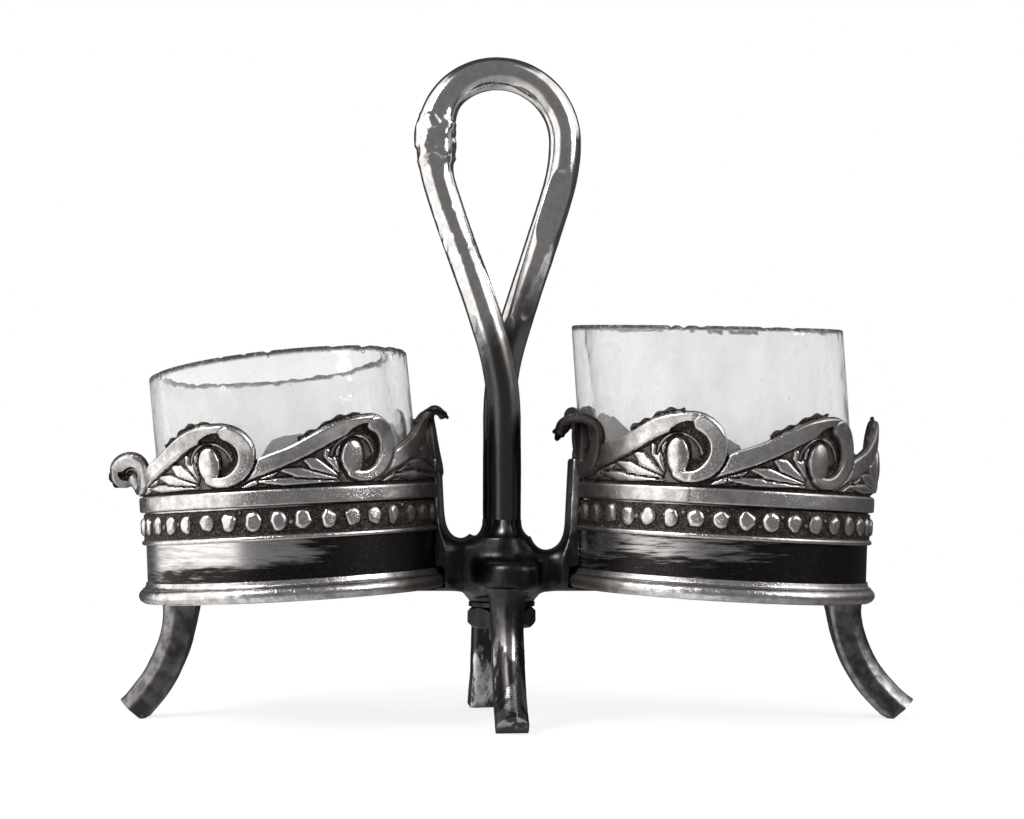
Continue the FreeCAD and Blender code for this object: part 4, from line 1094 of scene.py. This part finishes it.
def make_world():
    """Soft light all round: tall bright panels at both sides, grey in front and above, a pale table below.

    Only mirrored rays see this. The camera, the floor and what shows through the glass see plain white.
    A direction's level part is split into across, towards +X, and behind, towards +Y. z is upwards.
    """
    bpy.context.scene.world = bpy.data.worlds.new("studio")
    n = Nodes(bpy.context.scene.world)
    x, y, z = n.split(n.where("Generated"))
    level = n.greater(n.maths("SQRT", n.minus(1.0, n.times(z, z))), 0.001)
    across, behind = n.over(x, level), n.over(y, level)
    left = n.times(n.ramp(across, -0.66, -0.50, 1.4, 0.0), n.ramp(behind, 0.42, 0.62, 1.0, 0.0))
    left = n.times(left, n.ramp(z, -0.56, -0.26, 0.0, 1.0))
    right = n.times(n.ramp(across, 0.58, 0.70, 0.0, 1.2), n.ramp(behind, 0.5, 0.7, 1.0, 0.0))
    right = n.times(right, n.ramp(z, 0.24, 0.34, 0.04, 1.0))
    panels = n.times(n.greater(left, right), n.ramp(z, 0.80, 0.92, 1.0, 0.0))
    front = n.ramp(behind, -0.6, 0.3, 0.19, 0.06)
    table = n.times(n.ramp(z, -0.55, -0.15, 0.42, 0.0), n.ramp(across, -0.6, 0.3, 2.0, 0.9))
    light = n.greater(n.greater(front, table), panels)
    mirrored = n.add("Background", {"Color": WARM_WHITE, "Strength": light}).outputs[0]
    backdrop = n.add("Background", {"Color": WHITE}).outputs[0]
    rays = n.add("LightPath").outputs
    reflected = n.times(rays["Is Glossy Ray"], n.minus(1.0, rays["Is Transmission Ray"]))
    n.finish(n.mix_shader(reflected, backdrop, mirrored), "World")


def make_floor():
    """A pale table top that fades into the backdrop and takes only a faint shadow."""
    n = Nodes(bpy.data.materials.new("pale_floor"))
    away = n.add("VectorMath", {0: n.where()}, operation="LENGTH").outputs["Value"]
    glow = n.add("Emission", {"Color": WHITE, "Strength": 1.02}).outputs[0]
    pale = n.mix_shader(0.8, n.diffuse(FLOOR_COLOUR), glow)
    clear = n.add("BsdfTransparent").outputs[0]
    paint = n.finish(n.mix_shader(n.ramp(away, *FLOOR_FADE), pale, clear))
    turns = np.linspace(0, 2 * pi, 64, endpoint=False)
    rim = [(FLOOR_RADIUS * cos(a), FLOOR_RADIUS * sin(a), 0) for a in turns]
    mesh = bpy.data.meshes.new("floor")
    mesh.from_pydata(rim, [], [tuple(range(len(rim)))])
    mesh.materials.append(paint)
    floor = link("floor", mesh)
    floor.visible_glossy = False


def make_light(name, place, size, power):
    """A round soft lamp."""
    lamp = bpy.data.lights.new(name, "AREA")
    lamp.shape, lamp.size, lamp.energy = "DISK", size, power
    light = link(name, lamp)
    light.location = place
    light.rotation_euler = (Vector(AIM) - Vector(place)).to_track_quat("-Z", "Y").to_euler()


def make_camera():
    """Low and level with the drums, from the front."""
    data = bpy.data.cameras.new("camera")
    data.sensor_width, data.lens = 36.0, CAMERA_LENS
    data.clip_start, data.clip_end = 0.01, 10
    camera = link("camera", data)
    camera.location = CAMERA_PLACE
    camera.rotation_euler = (radians(90 + CAMERA_PITCH), 0, 0)
    bpy.context.scene.camera = camera


# ---- The set ----

relief_silver = silver("relief_silver", tarnish=0.2, polish=0.15, relief=True, blotches=0.45,
                       coat=shade_by_handle_and_right)
wall_silver = silver("wall_silver", relief=True, ragged=1.5, streaks=(0.25, 0.25, 3.0), pits=0.12,
                     blotches=0.6, dark_rough=0.38, dark_colour=BLACK)
rod_silver = silver("rod_silver", tarnish=0.15, polish=0.09, pits=0.12, blotches=0.15, dark_rough=0.3,
                    dark_colour=SOOTY, coat=low_on_rod)
dark_silver = silver("dark_silver", pits=0.2, dark_rough=0.33, dark_colour=BLACK, coat=shade_on_bridge)
leg_silver = silver("leg_silver", polish=0.16, pits=0.25, blotches=0.4, dark_rough=0.33, dark_colour=BLACK,
                    coat=feet_wear_and_sheen)
ring_silver = silver("ring_silver", tarnish=0.22, polish=0.15, blotches=0.55, coat=shade_by_handle_and_right)

drums = {side: drum_frame(side) for side in SIDES}
for side, place in drums.items():
    make_gallery(side, place, relief_silver)
    make_beads(side, place, relief_silver)
    make_wall(side, place, wall_silver)
    make_base_ring(side, place, ring_silver)
    make_liner(side)
make_handle(rod_silver)
make_bridge(drums, dark_silver)
for side, shape in SIDE_LEGS.items():
    make_leg(side, shape, (0, 0, 0), leg_silver, drums[side])
for side, shape in CENTRE_LEGS.items():
    make_leg(side, shape, centre_axis(), leg_silver)
for node in ("left_drum_floor", "right_drum_floor", "handle_socket", "handle_washer", "handle_nut"):
    frame["nodes"][node].data.materials.clear()
    frame["nodes"][node].data.materials.append(dark_silver)

make_world()
make_floor()
make_light("key_light", (-0.35, -0.25, 0.45), 0.25, 2.5)
make_light("fill_light", (0.45, -0.2, 0.3), 0.3, 1.2)
make_camera()
bpy.context.scene.view_settings.view_transform = "Standard"
